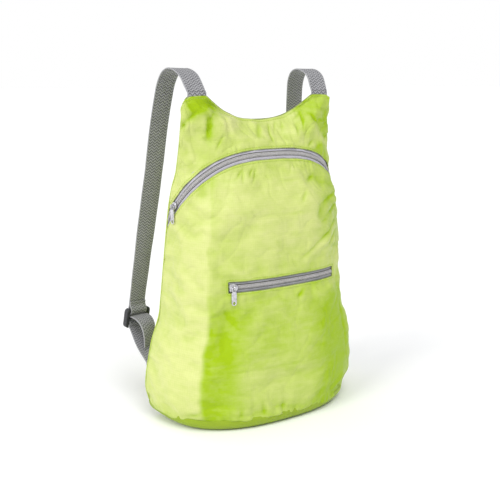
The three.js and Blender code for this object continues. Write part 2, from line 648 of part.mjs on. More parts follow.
// Ladder-lock buckle. The bars lie across X, the top one at the origin, and the frame hangs along -Y.
const LOOP_RADIUS = Math.hypot(BUCKLE_BAR, BUCKLE_THICK) / 2 + STRAP_CLEARANCE + WEBBING_THICK / 2;
const BAR_SPACING = 2 * LOOP_RADIUS + WEBBING_THICK + 2 * STRAP_CLEARANCE;
function buckleGeometry() {
  const inner = WEBBING_WIDTH / 2 + BUCKLE_SPARE;
  const outer = inner + BUCKLE_SIDE;
  const top = BUCKLE_BAR / 2 + BUCKLE_RIM;
  const low = -2 * BAR_SPACING - top;
  const round = BUCKLE_SIDE * 0.9;
  const rails = [-1, 1].map((side) => {
    const rail = new THREE.Shape();
    rail.moveTo(side * inner, low);
    rail.lineTo(side * inner, top);
    rail.lineTo(side * (outer - round), top);
    rail.quadraticCurveTo(side * outer, top, side * outer, top - round);
    rail.lineTo(side * outer, low + round);
    rail.quadraticCurveTo(side * outer, low, side * (outer - round), low);
    const solid = new THREE.ExtrudeGeometry(rail, {
      depth: BUCKLE_RAIL_THICK,
      bevelEnabled: false,
      curveSegments: 4,
    });
    return solid.translate(0, 0, -BUCKLE_RAIL_THICK / 2);
  });
  const bars = [0, 1, 2].map((bar) => {
    const across = new THREE.BoxGeometry(2 * inner + BUCKLE_SIDE, BUCKLE_BAR, BUCKLE_THICK);
    return across.translate(0, -bar * BAR_SPACING, 0);
  });
  return fuse([...rails, ...bars]);
}

// Places along a smooth curve through points, for the webbing's cross-sections.
function smoothRun(points) {
  const curve = new THREE.CatmullRomCurve3(points, false, 'centripetal');
  return curve.getSpacedPoints(Math.ceil(curve.getLength() / WEBBING_STEP));
}

// One shoulder strap with its buckle and lower strap. side is -1 on the left and 1 on the right.
function addStrap(side, name) {
  const facing = (degrees) => {
    const turn = THREE.MathUtils.degToRad(degrees);
    return vec(Math.cos(turn), -side * Math.sin(turn), 0);
  };
  const middle = (side * STRAP_SPACING) / 2;
  const top = topEdge(middle);
  const seamY = (z) => backAt(z) + BACK_GAP - STRAP_CLEARANCE - WEBBING_THICK / 2;
  const tucked = evenly(top - STRAP_TUCK, top, 2).map((z) => vec(middle, seamY(z), z));
  const risen = vec(middle, seamY(top), top + 2 * WEBBING_THICK);
  const arch = STRAP_ROUTE.map((row) =>
    vec(middle + side * row.splay * BAG_HEIGHT, row[name] * BAG_HEIGHT, row.up * BAG_HEIGHT),
  );
  const run = [...tucked, ...smoothRun([risen, ...arch])];
  const end = run.at(-1);
  const turnAt = (z) => STRAP_TURN * (1 - THREE.MathUtils.smoothstep(z, end.z, STRAP_TURN_HEIGHT));
  const down = end.clone().sub(run.at(-2)).normalize();
  const across = facing(STRAP_TURN);
  across.addScaledVector(down, -across.dot(down)).normalize();
  const behind = across.clone().cross(down);

  // The strap runs behind the top bar, turns under it and is sewn up against itself.
  const bar = end.clone().addScaledVector(down, HEM_LENGTH).addScaledVector(behind, -LOOP_RADIUS);
  const fromBar = (centre, back, low) =>
    centre.clone().addScaledVector(behind, back).addScaledVector(down, low);
  const around = (centre, from, to) =>
    evenly(from, to, Math.ceil(Math.abs(to - from) / LOOP_STEP)).map((angle) =>
      fromBar(centre, LOOP_RADIUS * Math.cos(angle), LOOP_RADIUS * Math.sin(angle)),
    );
  const sewn = LOOP_RADIUS - WEBBING_THICK - STRAP_CLEARANCE;
  const hem = [
    fromBar(bar, -LOOP_RADIUS, -BUCKLE_BAR),
    fromBar(bar, sewn, -HEM_LENGTH * 0.7),
    fromBar(bar, sewn, -HEM_LENGTH),
  ];
  const upper = [
    ...run.map((at) => ({ at, wide: facing(turnAt(at.z)) })),
    ...[...around(bar, 0, Math.PI), ...hem].map((at) => ({ at, wide: across })),
  ];
  addMesh(`shoulder_strap_${name}`, webbing(upper), FINISHES.webbing);

  const buckle = addMesh(`adjuster_buckle_${name}`, buckleGeometry(), FINISHES.buckle);
  buckle.position.copy(bar);
  const upward = down.clone().negate();
  const basis = new THREE.Matrix4().makeBasis(across, upward, across.clone().cross(upward));
  buckle.quaternion.setFromRotationMatrix(basis);

  // The lower strap rises from its seam on the back panel in front of the last bar, crosses behind
  // the middle bar, and turns over it into a tail that falls towards the bag.
  const second = fromBar(bar, 0, BAR_SPACING);
  const third = fromBar(bar, 0, 2 * BAR_SPACING);
  const cross = Math.asin((2 * LOOP_RADIUS) / BAR_SPACING);
  const leaves = THREE.MathUtils.degToRad(-TAIL_LEAVES);
  const threaded = [...around(third, Math.PI, Math.PI + cross), ...around(second, cross, leaves)];
  const seam = (z) => {
    const halfBack = Math.abs(shellPoint(side, z).x);
    const x = side * (halfBack - WEBBING_WIDTH / 2 - ANCHOR_INSET);
    const inner = (Math.abs(x) - WEBBING_WIDTH / 2) / halfBack;
    return vec(x, backPoint(side * inner, z, 0).y + STRAP_CLEARANCE + WEBBING_THICK / 2, z);
  };
  const rise = fromBar(third, -LOOP_RADIUS, BUCKLE_BAR);
  const sewnEnd = evenly(ANCHOR_HEIGHT, ANCHOR_HEIGHT + ANCHOR_SEAM, 2).map(seam);
  const lifted = sewnEnd[2].clone().add(vec(0, WEBBING_THICK, ANCHOR_LIFT));
  const sag = lifted.clone().lerp(rise, 0.5).add(vec(0, LOWER_SAG, -LOWER_SAG));
  const path = smoothRun([lifted, sag, rise]);
  const tailTop = threaded.at(-1);
  const tail = smoothRun(TAIL_ROUTE.map((row) => tailTop.clone().add(vec(0, -row.forward, -row.down))));
  const tailTurn = (k) => lerp(STRAP_TURN, TAIL_TURN, k / (tail.length - 2));
  const lower = [
    ...sewnEnd.map((at) => ({ at, wide: facing(0) })),
    ...path.map((at, k) => ({ at, wide: facing((STRAP_TURN * k) / (path.length - 1)) })),
    ...threaded.map((at) => ({ at, wide: across })),
    ...tail.slice(1).map((at, k) => ({ at, wide: facing(tailTurn(k)) })),
  ];
  addMesh(`lower_strap_${name}`, webbing(lower), FINISHES.webbing);
}

addMesh('back_panel', backPanel(), FINISHES.shell);
addMesh('front_panel', frontPanel(), FINISHES.shell);
addMesh('yoke_panel', yokePanel(), FINISHES.shell);
addMesh('base_panel', basePanel(), FINISHES.base);

const pocketLines = LINES.filter((u) => Math.abs(u) < POCKET_END + 1e-9);
const firstLine = LINES.indexOf(pocketLines[0]);
const tapeLines = LINES.slice(firstLine - 1, firstLine + pocketLines.length + 1);
const coilEnd = POCKET_END - SEAM_GAP / WRAP.half;
const coilLines = [-coilEnd, ...pocketLines.slice(1, -1), coilEnd];
addZip('main_zip', archHeight, LINES, LINES, FINISHES.tape);
addZip('pocket_zip', pocketHeight, tapeLines, coilLines, FINISHES.pocketTape);

addSlider('main_zip', archHeight, -1 + SLIDER_FROM_SEAM / WRAP.half);
addSlider('pocket_zip', pocketHeight, -POCKET_END + (SLIDER_FROM_END + SLIDER_LENGTH / 2) / WRAP.half);

addStrap(-1, 'left');
addStrap(1, 'right');

export default bag;
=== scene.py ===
"""Packable backpack, dressed: ripstop cloth, zips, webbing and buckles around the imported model,
with a floor, soft studio light and a camera.

Shapes are worked out in millimetres in the model's own frame (+Z up, the zips face -Y) and stored
in metres.
"""

import bmesh
import bpy
import numpy as np
from mathutils import Matrix, Vector


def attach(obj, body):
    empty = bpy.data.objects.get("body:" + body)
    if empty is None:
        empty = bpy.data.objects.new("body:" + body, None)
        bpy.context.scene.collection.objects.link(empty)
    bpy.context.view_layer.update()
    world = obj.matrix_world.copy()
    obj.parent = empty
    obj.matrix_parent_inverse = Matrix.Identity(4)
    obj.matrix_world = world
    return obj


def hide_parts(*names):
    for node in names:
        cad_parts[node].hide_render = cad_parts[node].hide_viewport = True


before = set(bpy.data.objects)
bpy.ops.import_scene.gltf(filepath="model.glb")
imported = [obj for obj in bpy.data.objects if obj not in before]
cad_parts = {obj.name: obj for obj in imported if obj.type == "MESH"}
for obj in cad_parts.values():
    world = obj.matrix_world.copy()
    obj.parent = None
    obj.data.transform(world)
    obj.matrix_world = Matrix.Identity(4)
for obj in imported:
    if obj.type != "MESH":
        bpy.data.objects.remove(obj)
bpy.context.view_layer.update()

MM = 0.001

# Bag body, as in the part's source
BAG_HEIGHT = 393
WIDEST = 278
BODY_DEPTH = 116
FABRIC = 1.5
SEAM_GAP = 0.3
BACK_GAP = 0.55
BASE_SEAM = 16
BASE_ROUND = 14
BASE_BACK_TURN = 20
BACK_BULGE = 7
BULGE_EASE = 60
NECK_WIDTH = 154
NECK_DIP = 28
SHOULDER_ROUND = 8
SHOULDER_DROP = 12
TOP_CLOSING = 34
TOP_SQUARE = 10

# Zips
ARCH_BELOW_TOP = 68
ARCH_DROP = 76
ZIP_SHOWING = 12
POCKET_HEIGHT = 176
POCKET_LENGTH = 156
COIL_WIDTH = 5.2
TAPE_THICK = 0.8
TAPE_MARGIN = 6
TAPE_INSET = FABRIC + 0.5
COIL_SINK = 0.5
TOOTH_PITCH = 1.45  # along the zip, between two teeth of one side

# Sliders and pulls
SLIDER_LENGTH = 10
SLIDER_WIDTH = 8.6
SLIDER_THICK = 2
SLIDER_CLEARANCE = 0.35
SLIDER_FROM_SEAM = 17
SLIDER_FROM_END = 0.5
BAIL_THICK = 1.4
BAIL_WALL = 1.3
PULL_LENGTH = 21
PULL_WIDTH = 6
PULL_THICK = 1.2
PULL_BAR = 1.4
PULL_WALL = 1.2
PULL_CLEARANCE = 0.6
PULL_EYE_SPARE = 1

# Webbing and buckles
WEBBING_WIDTH = 25
WEBBING_THICK = 1.5
STRAP_CLEARANCE = 0.3
STRAP_SPACING = 177  # between the middles of the two straps
STRAP_TUCK = 12
SLOT_EASE = 8
SLOT_SPARE = 1.12
BUCKLE_BAR = 3
BUCKLE_THICK = 2.6
BUCKLE_SIDE = 5
BUCKLE_SPARE = 1
BUCKLE_RIM = 3
BUCKLE_RAIL_THICK = 7
HEM_LENGTH = 13
STRAP_TURN = 11
STRAP_TURN_HEIGHT = 240
TAIL_TURN = 36
TAIL_LEAVES = 110
ANCHOR_HEIGHT = 50
ANCHOR_SEAM = 12
ANCHOR_INSET = 3
ANCHOR_LIFT = 5
LOWER_SAG = 3


def table(columns, *rows):
    """Rows of values under named columns."""
    return [dict(zip(columns.split(), row)) for row in rows]


# Levels of the bag. level is a share of BAG_HEIGHT, width of WIDEST, back and depth of BODY_DEPTH,
# and square is the exponent of the rounded oblong that the front wraps round.
SECTIONS = table(
    "level width back depth square",
    (0.0, 0.95, 0.43, 0.925, 2.4),
    (0.04, 0.972, 0.46, 0.97, 2.5),
    (0.1, 1.0, 0.475, 1.0, 2.7),
    (0.23, 0.948, 0.462, 0.965, 2.9),
    (0.35, 0.864, 0.422, 0.885, 3.0),
    (0.54, 0.849, 0.32, 0.73, 2.75),
    (0.665, 0.83, 0.268, 0.655, 2.5),
    (0.73, 0.804, 0.243, 0.55, 2.45),
    (0.785, 0.77, 0.214, 0.445, 2.45),
    (0.86, 0.762, 0.163, 0.315, 2.4),
    (0.935, 0.765, 0.105, 0.215, 2.4),
    (1.0, 0.758, 0.06, 0.16, 2.4),
)

# Large folds that the solids have too. across is a share of the half wrap, up, length and width are
# shares of BAG_HEIGHT, turn is degrees from upright, and out is a share of FOLD_SIZE.
FOLD_SIZE = 5
SEAM_HOLD = 20
ZIP_HOLD = 16
LARGE_FOLDS = table(
    "across up turn length width out",
    (-0.56, 0.33, 0, 0.24, 0.03, 0.7),
    (-0.46, 0.33, 2, 0.09, 0.035, -0.8),
    (-0.45, 0.12, -6, 0.06, 0.04, -0.7),
    (0.2, 0.16, 84, 0.2, 0.02, -0.35),
    (0.25, 0.3, 25, 0.16, 0.06, 0.5),
    (0.56, 0.28, -4, 0.2, 0.035, 0.5),
    (-0.75, 0.42, -14, 0.14, 0.03, 0.45),
    (-0.8, 0.2, 12, 0.1, 0.03, -0.45),
    (-0.3, 0.6, 50, 0.1, 0.035, -0.4),
    (0.3, 0.62, -40, 0.12, 0.04, 0.35),
    (-0.36, 0.92, 4, 0.035, 0.014, -0.55),
    (0.25, 0.89, -12, 0.04, 0.014, 0.5),
    (0.36, 0.88, 32, 0.035, 0.014, -0.4),
)

# Route of the upper strap: how far back each strap stands, its height, and how far it has swung
# outwards, in shares of BAG_HEIGHT.
STRAP_ROUTE = table(
    "left right up splay",
    (0.032, 0.024, 1.025, 0),
    (0.061, 0.04, 1.056, 0),
    (0.098, 0.068, 1.073, 0),
    (0.135, 0.1, 1.078, 0),
    (0.168, 0.13, 1.066, 0.002),
    (0.191, 0.149, 1.038, 0.005),
    (0.207, 0.161, 0.985, 0.01),
    (0.225, 0.175, 0.895, 0.018),
    (0.239, 0.192, 0.776, 0.029),
    (0.257, 0.214, 0.657, 0.04),
    (0.276, 0.241, 0.537, 0.051),
    (0.293, 0.268, 0.418, 0.062),
    (0.304, 0.287, 0.333, 0.07),
)

# Free tail of the lower strap: how far it has gone forwards and down, in millimetres.
TAIL_ROUTE = table(
    "forward down",
    (0, 0),
    (9, -0.5),
    (20, 1),
    (29, 7),
    (33, 18),
    (32, 32),
)


def ease(value, low, high):
    t = np.clip((value - low) / (high - low), 0, 1)
    return t * t * (3 - 2 * t)


def unit(vectors):
    return vectors / np.maximum(np.linalg.norm(vectors, axis=-1, keepdims=True), 1e-9)


def lengths_along(points):
    """Length along a row of points, up to each of them."""
    return np.concatenate([[0], np.cumsum(np.linalg.norm(np.diff(points, axis=0), axis=1))])


def smooth_column(key, scale):
    """A smooth curve through one column of SECTIONS, with no overshoot between its rows."""
    at = np.array([row["level"] for row in SECTIONS]) * BAG_HEIGHT
    value = np.array([row[key] for row in SECTIONS]) * scale
    slope = np.diff(value) / np.diff(at)
    tangent = np.concatenate([slope[:1], np.zeros(len(at) - 2), slope[-1:]])
    for k in range(1, len(at) - 1):
        if slope[k - 1] * slope[k] > 0:
            tangent[k] = 2 * slope[k - 1] * slope[k] / (slope[k - 1] + slope[k])

    def curve(z):
        k = np.clip(np.searchsorted(at, z, side="right") - 1, 0, len(at) - 2)
        step = at[k + 1] - at[k]
        t = np.clip((z - at[k]) / step, 0, 1)
        held = value[k] * (1 + 2 * t) * (1 - t) ** 2 + value[k + 1] * t * t * (3 - 2 * t)
        return held + step * t * (1 - t) * (tangent[k] * (1 - t) - tangent[k + 1] * t)

    return curve


half_width_at = smooth_column("width", WIDEST / 2)
back_at = smooth_column("back", BODY_DEPTH)
depth_at = smooth_column("depth", BODY_DEPTH)
square_at = smooth_column("square", 1)


def oblong(angle, square):
    """Place on a rounded oblong of half width 1 and depth 1, from the left side seam at angle 0."""
    c, s = np.cos(angle), np.abs(np.sin(angle))
    shrink = (np.abs(c) ** square + s**square) ** (-1 / square)
    return c * shrink, s * shrink


def measure_wrap(z):
    """Angles at even steps of cloth round the front, and half the length of that cloth."""
    angles = np.linspace(0, np.pi, 601)
    c, s = oblong(angles, square_at(z))
    round_cloth = np.stack([c * half_width_at(z), s * depth_at(z)], -1)
    lengths = lengths_along(round_cloth)
    return lambda u: np.interp((u + 1) / 2 * lengths[-1], lengths, angles), lengths[-1] / 2


wrap_angle, HALF_WRAP = measure_wrap(POCKET_HEIGHT)


def top_edge(x):
    """Height of the bag's top edge at a distance from the middle."""
    neck = np.minimum(np.abs(x) / (NECK_WIDTH / 2), 1)
    dip = NECK_DIP * (1 - neck**2.6) ** 1.2
    corner = np.clip((np.abs(x) - half_width_at(BAG_HEIGHT) + SHOULDER_ROUND) / SHOULDER_ROUND, 0, 1)
    return BAG_HEIGHT - dip - SHOULDER_DROP * (1 - np.sqrt(1 - corner * corner))


def strap_room(x):
    """Room between the yoke and the back panel for a strap's end."""
    slot = WEBBING_THICK + 2 * STRAP_CLEARANCE - BACK_GAP
    from_strap = np.abs(np.abs(x) - STRAP_SPACING / 2) - WEBBING_WIDTH / 2
    return slot * (1 - ease(from_strap, STRAP_CLEARANCE, SLOT_EASE))


def pocket_height(u):
    return np.full(np.shape(u), float(POCKET_HEIGHT))


def arch_height(u):
    return BAG_HEIGHT - ARCH_BELOW_TOP - ARCH_DROP * np.abs(u) ** 2.7


def on_fold(fold, side, rise, scale=1):
    """Place along and across a fold, in shares of its length and width."""
    cos, sin = np.cos(np.radians(fold["turn"])), np.sin(np.radians(fold["turn"]))
    along = (rise * cos + side * sin) / (fold["length"] * scale)
    across = (side * cos - rise * sin) / (fold["width"] * scale)
    return along, across


def large_folds(u, z, to_top):
    """Folds that the solids have, which die out towards the seams and zips."""
    out = np.zeros(np.shape(u + z))
    for fold in LARGE_FOLDS:
        side = (u - fold["across"]) * HALF_WRAP
        rise = z - fold["up"] * BAG_HEIGHT
        along, across = on_fold(fold, side, rise, BAG_HEIGHT)
        out += fold["out"] * FOLD_SIZE * np.exp(-(across**2) - along**4)
    past_side = np.abs(z - POCKET_HEIGHT) - ZIP_SHOWING / 2 - TAPE_MARGIN
    past_end = np.abs(u) * HALF_WRAP - POCKET_LENGTH / 2 - TAPE_MARGIN
    held = ease((1 - np.abs(u)) * HALF_WRAP, 0, SEAM_HOLD) * ease(to_top, 0, SEAM_HOLD)
    held = held * ease(z - BASE_SEAM, 0, SEAM_HOLD)
    held = held * ease(np.abs(z - arch_height(u)) - ZIP_SHOWING, 0, ZIP_HOLD)
    return out * held * ease(np.maximum(past_side, past_end), 0, ZIP_HOLD)


def shell(u, z, inset=0.0):
    """The bag's front and sides. u runs round the cloth from the left side seam at -1 to the right
    one at 1, and inset is the distance inwards from the outer face."""
    u, z = np.broadcast_arrays(np.clip(np.asarray(u, float), -1, 1), np.asarray(z, float))
    half = half_width_at(z)
    angle = wrap_angle(u)
    to_top = np.maximum(top_edge(half * oblong(angle, square_at(z))[0]) - z, 0)
    opened = 1 - (1 - np.minimum(to_top / TOP_CLOSING, 1)) ** 2
    square = square_at(z) + (TOP_SQUARE - square_at(z)) * (1 - opened) ** 1.5
    c, s = oblong(angle, square)
    room = FABRIC + strap_room(half * c) * SLOT_SPARE * (1 - opened)
    depth = room + (depth_at(z) - FABRIC) * opened
    lean_x = -np.sign(c) * np.abs(c) ** (square - 1) / half
    lean_y = -(s ** (square - 1)) / depth
    out = large_folds(u, z, to_top) / np.hypot(lean_x, lean_y)
    x = -(half - inset) * c + lean_x * out
    y = back_at(z) - (depth - inset) * s + lean_y * out
    return np.stack([x, y, z], -1)


def beside(u, step=0.01):
    return np.maximum(u - step, -1), np.minimum(u + step, 1)


def shell_normal(u, z):
    low, high = beside(u)
    return unit(np.cross(shell(high, z) - shell(low, z), shell(u, z + 1) - shell(u, z - 1)))


def beside_zip(middle, u, distance):
    """Height on the line u of a curve that keeps a distance from a zip's middle line."""
    low, high = beside(u)
    tangent = unit(shell(high, middle(high)) - shell(low, middle(low)))
    across = np.cross(shell_normal(u, middle(u)), tangent)
    up = (shell(u, middle(u) + 1) - shell(u, middle(u) - 1)) / 2
    return middle(u) + distance / np.sum(up * across, -1)


def meet_top(x_at):
    """Height at which a line of the bag meets the top edge. x_at gives its x at a height."""
    z = float(BAG_HEIGHT)
    for _ in range(30):
        z = z + (top_edge(x_at(z)) - z) * 0.7
    return z


# Cloth details

# Folds, creases and puckers that the photograph shows, on the cloth of the front and the yoke.
# round is measured round the cloth from the middle and up from the floor, all in millimetres. turn is
# degrees from upright, and sharp gives a creased ridge or valley instead of a soft one.
SMALL_FOLDS = table(
    "round up turn length width out sharp",
    (-101, 135, -1, 118, 16, 3.2, True),
    (-76, 138, -38, 16, 5, -2.2, True),
    (-98, 125, 0, 9, 5, -2.5, False),
    (-92, 92, 80, 11, 3.5, -1.8, True),
    (-80, 104, -20, 18, 6, -1.7, False),
    (-20, 76, 90, 85, 1.8, -0.9, True),
    (18, 159, 45, 7, 2.5, -2, False),
    (68, 158, 78, 20, 3.2, 1.8, False),
    (91, 105, -3, 42, 3.2, -2.2, True),
    (104, 90, 2, 50, 9, 1.8, False),
    (88, 20, -62, 15, 2.2, -3, True),
    (74, 30, 55, 14, 4, 2, False),
    (-112, 21, 55, 15, 4, -3, True),
    (-60, 22, 4, 9, 2.6, -1.4, False),
    (-34, 24, -8, 11, 2.6, -1.4, False),
    (-10, 23, 5, 9, 2.4, -1.2, False),
    (-58, 305, 47, 8, 1.9, -2.7, True),
    (-54, 303, 12, 9, 1.9, -2.5, True),
    (-40, 307, 42, 7, 1.7, -2.5, True),
    (-36, 303, 28, 9, 1.7, -2.4, True),
    (22, 309, 25, 6, 1.6, -1.8, True),
    (29, 310, 15, 5, 1.5, -1.8, True),
    (54, 294, 70, 9, 2.6, -1.5, False),
    (18, 294, 88, 17, 2.2, -1, False),
    (8, 256, 90, 22, 2, -1.4, True),
    (31, 274, 45, 9, 2.4, -1.5, False),
    (85, 268, 78, 24, 3.2, -2.8, True),
    (92, 254, 76, 20, 3.2, -3.2, True),
    (120, 268, 90, 15, 2.6, -2.2, False),
    (121, 288, 88, 15, 2.4, -1.8, False),
    (56, 254, 20, 10, 6, -1.7, False),
    (62, 242, 80, 7, 2.2, -1.5, True),
    (70, 226, 62, 28, 2.4, -2.4, True),
    (35, 207, 60, 17, 2.4, -1.7, True),
    (64, 215, 62, 22, 3.4, 1.7, False),
    (84, 218, 60, 16, 2.6, -2.4, True),
    (98, 238, 82, 9, 2.4, -1.8, False),
    (100, 206, -85, 20, 3.2, -1.7, False),
    (-128, 370, 76, 30, 3.2, -3, True),
    (-163, 360, 85, 14, 3, -2.1, False),
    (-86, 370, 68, 12, 3.2, -2.7, True),
    (-98, 357, 14, 14, 5.5, -3.9, False),
    (-83, 340, 40, 12, 3, -2, True),
    (-60, 363, 85, 24, 5, 2, False),
    (-95, 381, 80, 26, 5, -3, False),
    (-62, 377, -62, 17, 4, -2.5, False),
    (-12, 352, 40, 14, 3.5, -1.8, False),
    (8, 355, 32, 8, 2.2, -2.2, True),
    (4, 344, 0, 8, 2.3, -2.7, True),
    (18, 356, 38, 8, 2.1, -2, True),
    (30, 358, 30, 7, 2.1, -1.7, True),
    (23, 336, -8, 5, 2, -1.7, True),
    (60, 363, 2, 10, 2, -3.9, True),
    (56, 368, 55, 7, 1.8, -2.2, True),
    (80, 365, -62, 16, 2.4, -3, True),
    (86, 370, -80, 18, 3, 1.8, False),
    (104, 362, -85, 12, 2.2, -2, True),
    (125, 357, 88, 16, 2.4, -2.2, True),
    (125, 342, -88, 16, 3.2, -1.8, False),
    (69, 333, 62, 10, 2, -2.5, True),
    (71, 328, 66, 10, 2.6, 1.4, False),
    (48, 352, 20, 9, 3, -1.5, False),
)


# Painted light and shade in broad patches of the cloth: the last column paints shade above 0 and light
# below it.
LIGHT_AND_SHADE_PATCHES = table(
    "left right low high fade deep",
    (-101, -64, 4, 136, (4, 20, 32), 0.4),
    (38, 108, 10, 156, (24, 34, 22), 0.5),
    (-101, 116, 0, 168, (4, 40, 20), 0.26),
    (-62, 45, 22, 76, (12, 20, 2), -0.16),
    (-178, -101, 22, 300, (14, 2, 16), -0.24),
    (-92, 58, 205, 308, (10, 18, 26), -0.14),
    (60, 132, 214, 298, (18, 26, 18), 0.3),
    (-122, -94, 286, 299, (8, 8, 5), 0.35),
    (-128, -66, 374, 400, (20, 12, 12), 0.55),
    (-150, 62, 332, 384, (20, 16, 10), -0.12),
    (-178, -116, 296, 368, (12, 14, 14), -0.12),
    (56, 140, 350, 396, (8, 10, 12), 0.42),
    (62, 118, 312, 332, (12, 10, 4), 0.45),
    (-72, -38, 356, 370, (8, 8, 4), -0.25),
)
MIDDLE_TONE = 0.4


def cloth_light_and_shade(x, z):
    """Painted light and shade, from 0, pale and lit, to 1, deep and shaded."""
    tone = MIDDLE_TONE + 0 * x
    x = x + 1.2 * plane_waves(x, z, 36, 81)
    z = z + 6.0 * plane_waves(x, z, 44, 82)
    for row in LIGHT_AND_SHADE_PATCHES:
        left, right, ends = row["fade"]
        wide = ease(x, row["left"] - left, row["left"] + left)
        wide *= 1 - ease(x, row["right"] - right, row["right"] + right)
        high = ease(z, row["low"] - ends, row["low"] + ends)
        high *= 1 - ease(z, row["high"] - ends, row["high"] + ends)
        tone += row["deep"] * wide * high
    return tone


def crease_shade(folds, slack):
    """Painted shade in creases, which are drawn deeper than the cloth beside them, and a little in slack
    hollows; ridges are drawn a touch paler.
    """
    return np.clip(-folds / 4, -0.06, 0.6) + np.clip(-slack / 12, -0.1, 0.12)


def plane_waves(x, y, size, seed, count=9):
    """A smooth random field of about -1 to 1, with waves of about one size."""
    draw = np.random.RandomState(seed)
    total = np.zeros(np.shape(x))
    for _ in range(count):
        turn = draw.uniform(0, np.pi)
        number = 2 * np.pi / (size * draw.uniform(0.7, 1.5))
        phase = draw.uniform(0, 2 * np.pi)
        total += np.sin((x * np.cos(turn) + y * np.sin(turn)) * number + phase)
    return total / np.sqrt(count)


def small_folds(x, z):
    total = np.zeros(np.shape(x))
    for fold in SMALL_FOLDS:
        along, across = on_fold(fold, x - fold["round"], z - fold["up"])
        shape = np.exp(-1.6 * np.sqrt(across**2 + 0.04)) if fold["sharp"] else np.exp(-(across**2))
        total += fold["out"] * shape * np.exp(-1.1 * np.abs(along) ** 2.5)
    return total


def crumple(x, z, seed):
    """Slack waves of the cloth and the crisp lines that packing leaves in it."""
    slack = 1.1 * plane_waves(x, z * 0.7, 95, seed) + 0.5 * plane_waves(x, z, 34, seed + 1)
    bent_x = x + 9 * plane_waves(x, z, 60, seed + 2)
    bent_z = z + 9 * plane_waves(x, z, 60, seed + 3)
    valleys = np.abs(plane_waves(bent_x, bent_z, 48, seed + 4, 5))
    ridges = np.abs(plane_waves(bent_z, bent_x, 26, seed + 5, 5))
    patchy = ease(plane_waves(x, z, 70, seed + 6), -0.6, 0.9)
    return slack - 0.9 * np.exp(-valleys * 7) + 0.5 * patchy * np.exp(-ridges * 8)


def pucker(along, distance, size, reach, seed):
    """Gathers that a seam leaves in thin cloth, dying out away from it."""
    wave = plane_waves(along, 0 * along, 9, seed, 4) + 0.6 * plane_waves(along, 0 * along, 17, seed + 1, 4)
    patchy = 0.55 + 0.45 * plane_waves(along, 0 * along, 70, seed + 2, 4)
    return size * wave * patchy * np.exp(-distance / reach) * (1 - np.exp(-distance / 1.2))


def turned_hem(distance):
    """A turned and topstitched edge: it rolls in at the fold, and its stitches pull it down."""
    rolled = -0.75 * np.exp(-((distance / 0.9) ** 2))
    stitched = -0.4 * np.exp(-(((distance - 3) / 0.8) ** 2))
    return rolled + stitched + 0.22 * np.exp(-(((distance - 1.6) / 0.8) ** 2))


def plain_seam(distance):
    return -0.9 * np.exp(-((distance / 1.7) ** 2))


def grid_normals(points):
    return unit(np.cross(np.gradient(points, axis=0), np.gradient(points, axis=1)))


# Settling of the slack cloth

SETTLE_COLUMNS = 121
SETTLE_ROWS = 111
SETTLE_FRAMES = 22
SETTLE_MOST = 3.0  # millimetres that a point of the cloth may move
SETTLE_SCALE = 10 * MM  # the cloth settles at ten times its size
SEWN_MARGIN = 3.5  # from a seam or zip to where the cloth is free
FREE_HOLD = 0.012  # how firmly free cloth is held to its place, where 1 is sewn
CLOTH_SPARE = 0.014  # how much longer the cloth is than the filled bag under it
CLOTH_SETTINGS = dict(
    quality=5,
    mass=0.1,
    tension_stiffness=15,
    compression_stiffness=15,
    shear_stiffness=5,
    bending_stiffness=0.05,
    air_damping=2,
    vertex_group_mass="sewn",
    shrink_min=-CLOTH_SPARE,
)


def from_slot(x, z):
    """Distance on the cloth from the edge of the pocket zip's slot."""
    past_end = np.maximum(np.abs(x) - POCKET_LENGTH / 2, 0)
    past_side = np.maximum(np.abs(z - POCKET_HEIGHT) - ZIP_SHOWING / 2, 0)
    return np.hypot(past_end, past_side)


def settle_grid():
    u = np.linspace(-1, 1, SETTLE_COLUMNS)
    top = np.array([meet_top(lambda z, line=line: shell(line, z)[0]) for line in u])
    low = BASE_SEAM + SEAM_GAP
    return u, low, top, low + (top - low)[:, None] * np.linspace(0, 1, SETTLE_ROWS)[None, :]


def settle_cloth():
    """Lets the oversized cloth of the front and the yoke settle between its seams and zips, and
    returns how far each point of a grid moves."""
    u, low, top, z = settle_grid()
    lines = u[:, None] + 0 * z
    points = shell(lines, z)
    x = lines * HALF_WRAP
    start = points + grid_normals(points) * 0.5 * plane_waves(x, z, 26, 5)[..., None]
    to_zip = np.abs(z - arch_height(lines)) * edge_slope(u, arch_height(u))[:, None] - ZIP_SHOWING / 2
    to_edge = np.minimum((1 - np.abs(lines)) * HALF_WRAP, np.minimum(z - low, top[:, None] - z))
    free = np.minimum(np.minimum(to_zip, from_slot(x, z)), to_edge) - SEWN_MARGIN
    at = np.arange(z.size).reshape(z.shape)
    quads = np.stack([at[:-1, :-1], at[1:, :-1], at[1:, 1:], at[:-1, 1:]], -1).reshape(-1, 4)
    mesh = bpy.data.meshes.new("settling")
    mesh.from_pydata((start.reshape(-1, 3) * 10 * MM).tolist(), [], quads.tolist())
    piece = add_object("settling", mesh)
    sewn = piece.vertex_groups.new(name="sewn")
    sewn.add(at[free <= 0].tolist(), 1.0, "REPLACE")
    sewn.add(at[free > 0].tolist(), FREE_HOLD, "REPLACE")
    cloth = piece.modifiers.new("cloth", "CLOTH")
    for key, value in CLOTH_SETTINGS.items():
        setattr(cloth.settings, key, value)
    cloth.settings.effector_weights.gravity = 0.0
    cloth.collision_settings.use_collision = False
    cloth.point_cache.frame_end = SETTLE_FRAMES
    for number in range(1, SETTLE_FRAMES + 1):
        bpy.context.scene.frame_set(number)
    settled_mesh = piece.evaluated_get(bpy.context.evaluated_depsgraph_get()).data
    flat = np.zeros(z.size * 3)
    settled_mesh.vertices.foreach_get("co", flat)
    moved = flat.reshape(*z.shape, 3) / SETTLE_SCALE - points
    bpy.data.objects.remove(piece)
    bpy.context.scene.frame_set(1)
    far = np.linalg.norm(moved, axis=-1, keepdims=True)
    moved *= np.tanh(far / SETTLE_MOST) * SETTLE_MOST / np.maximum(far, 1e-9)
    return moved


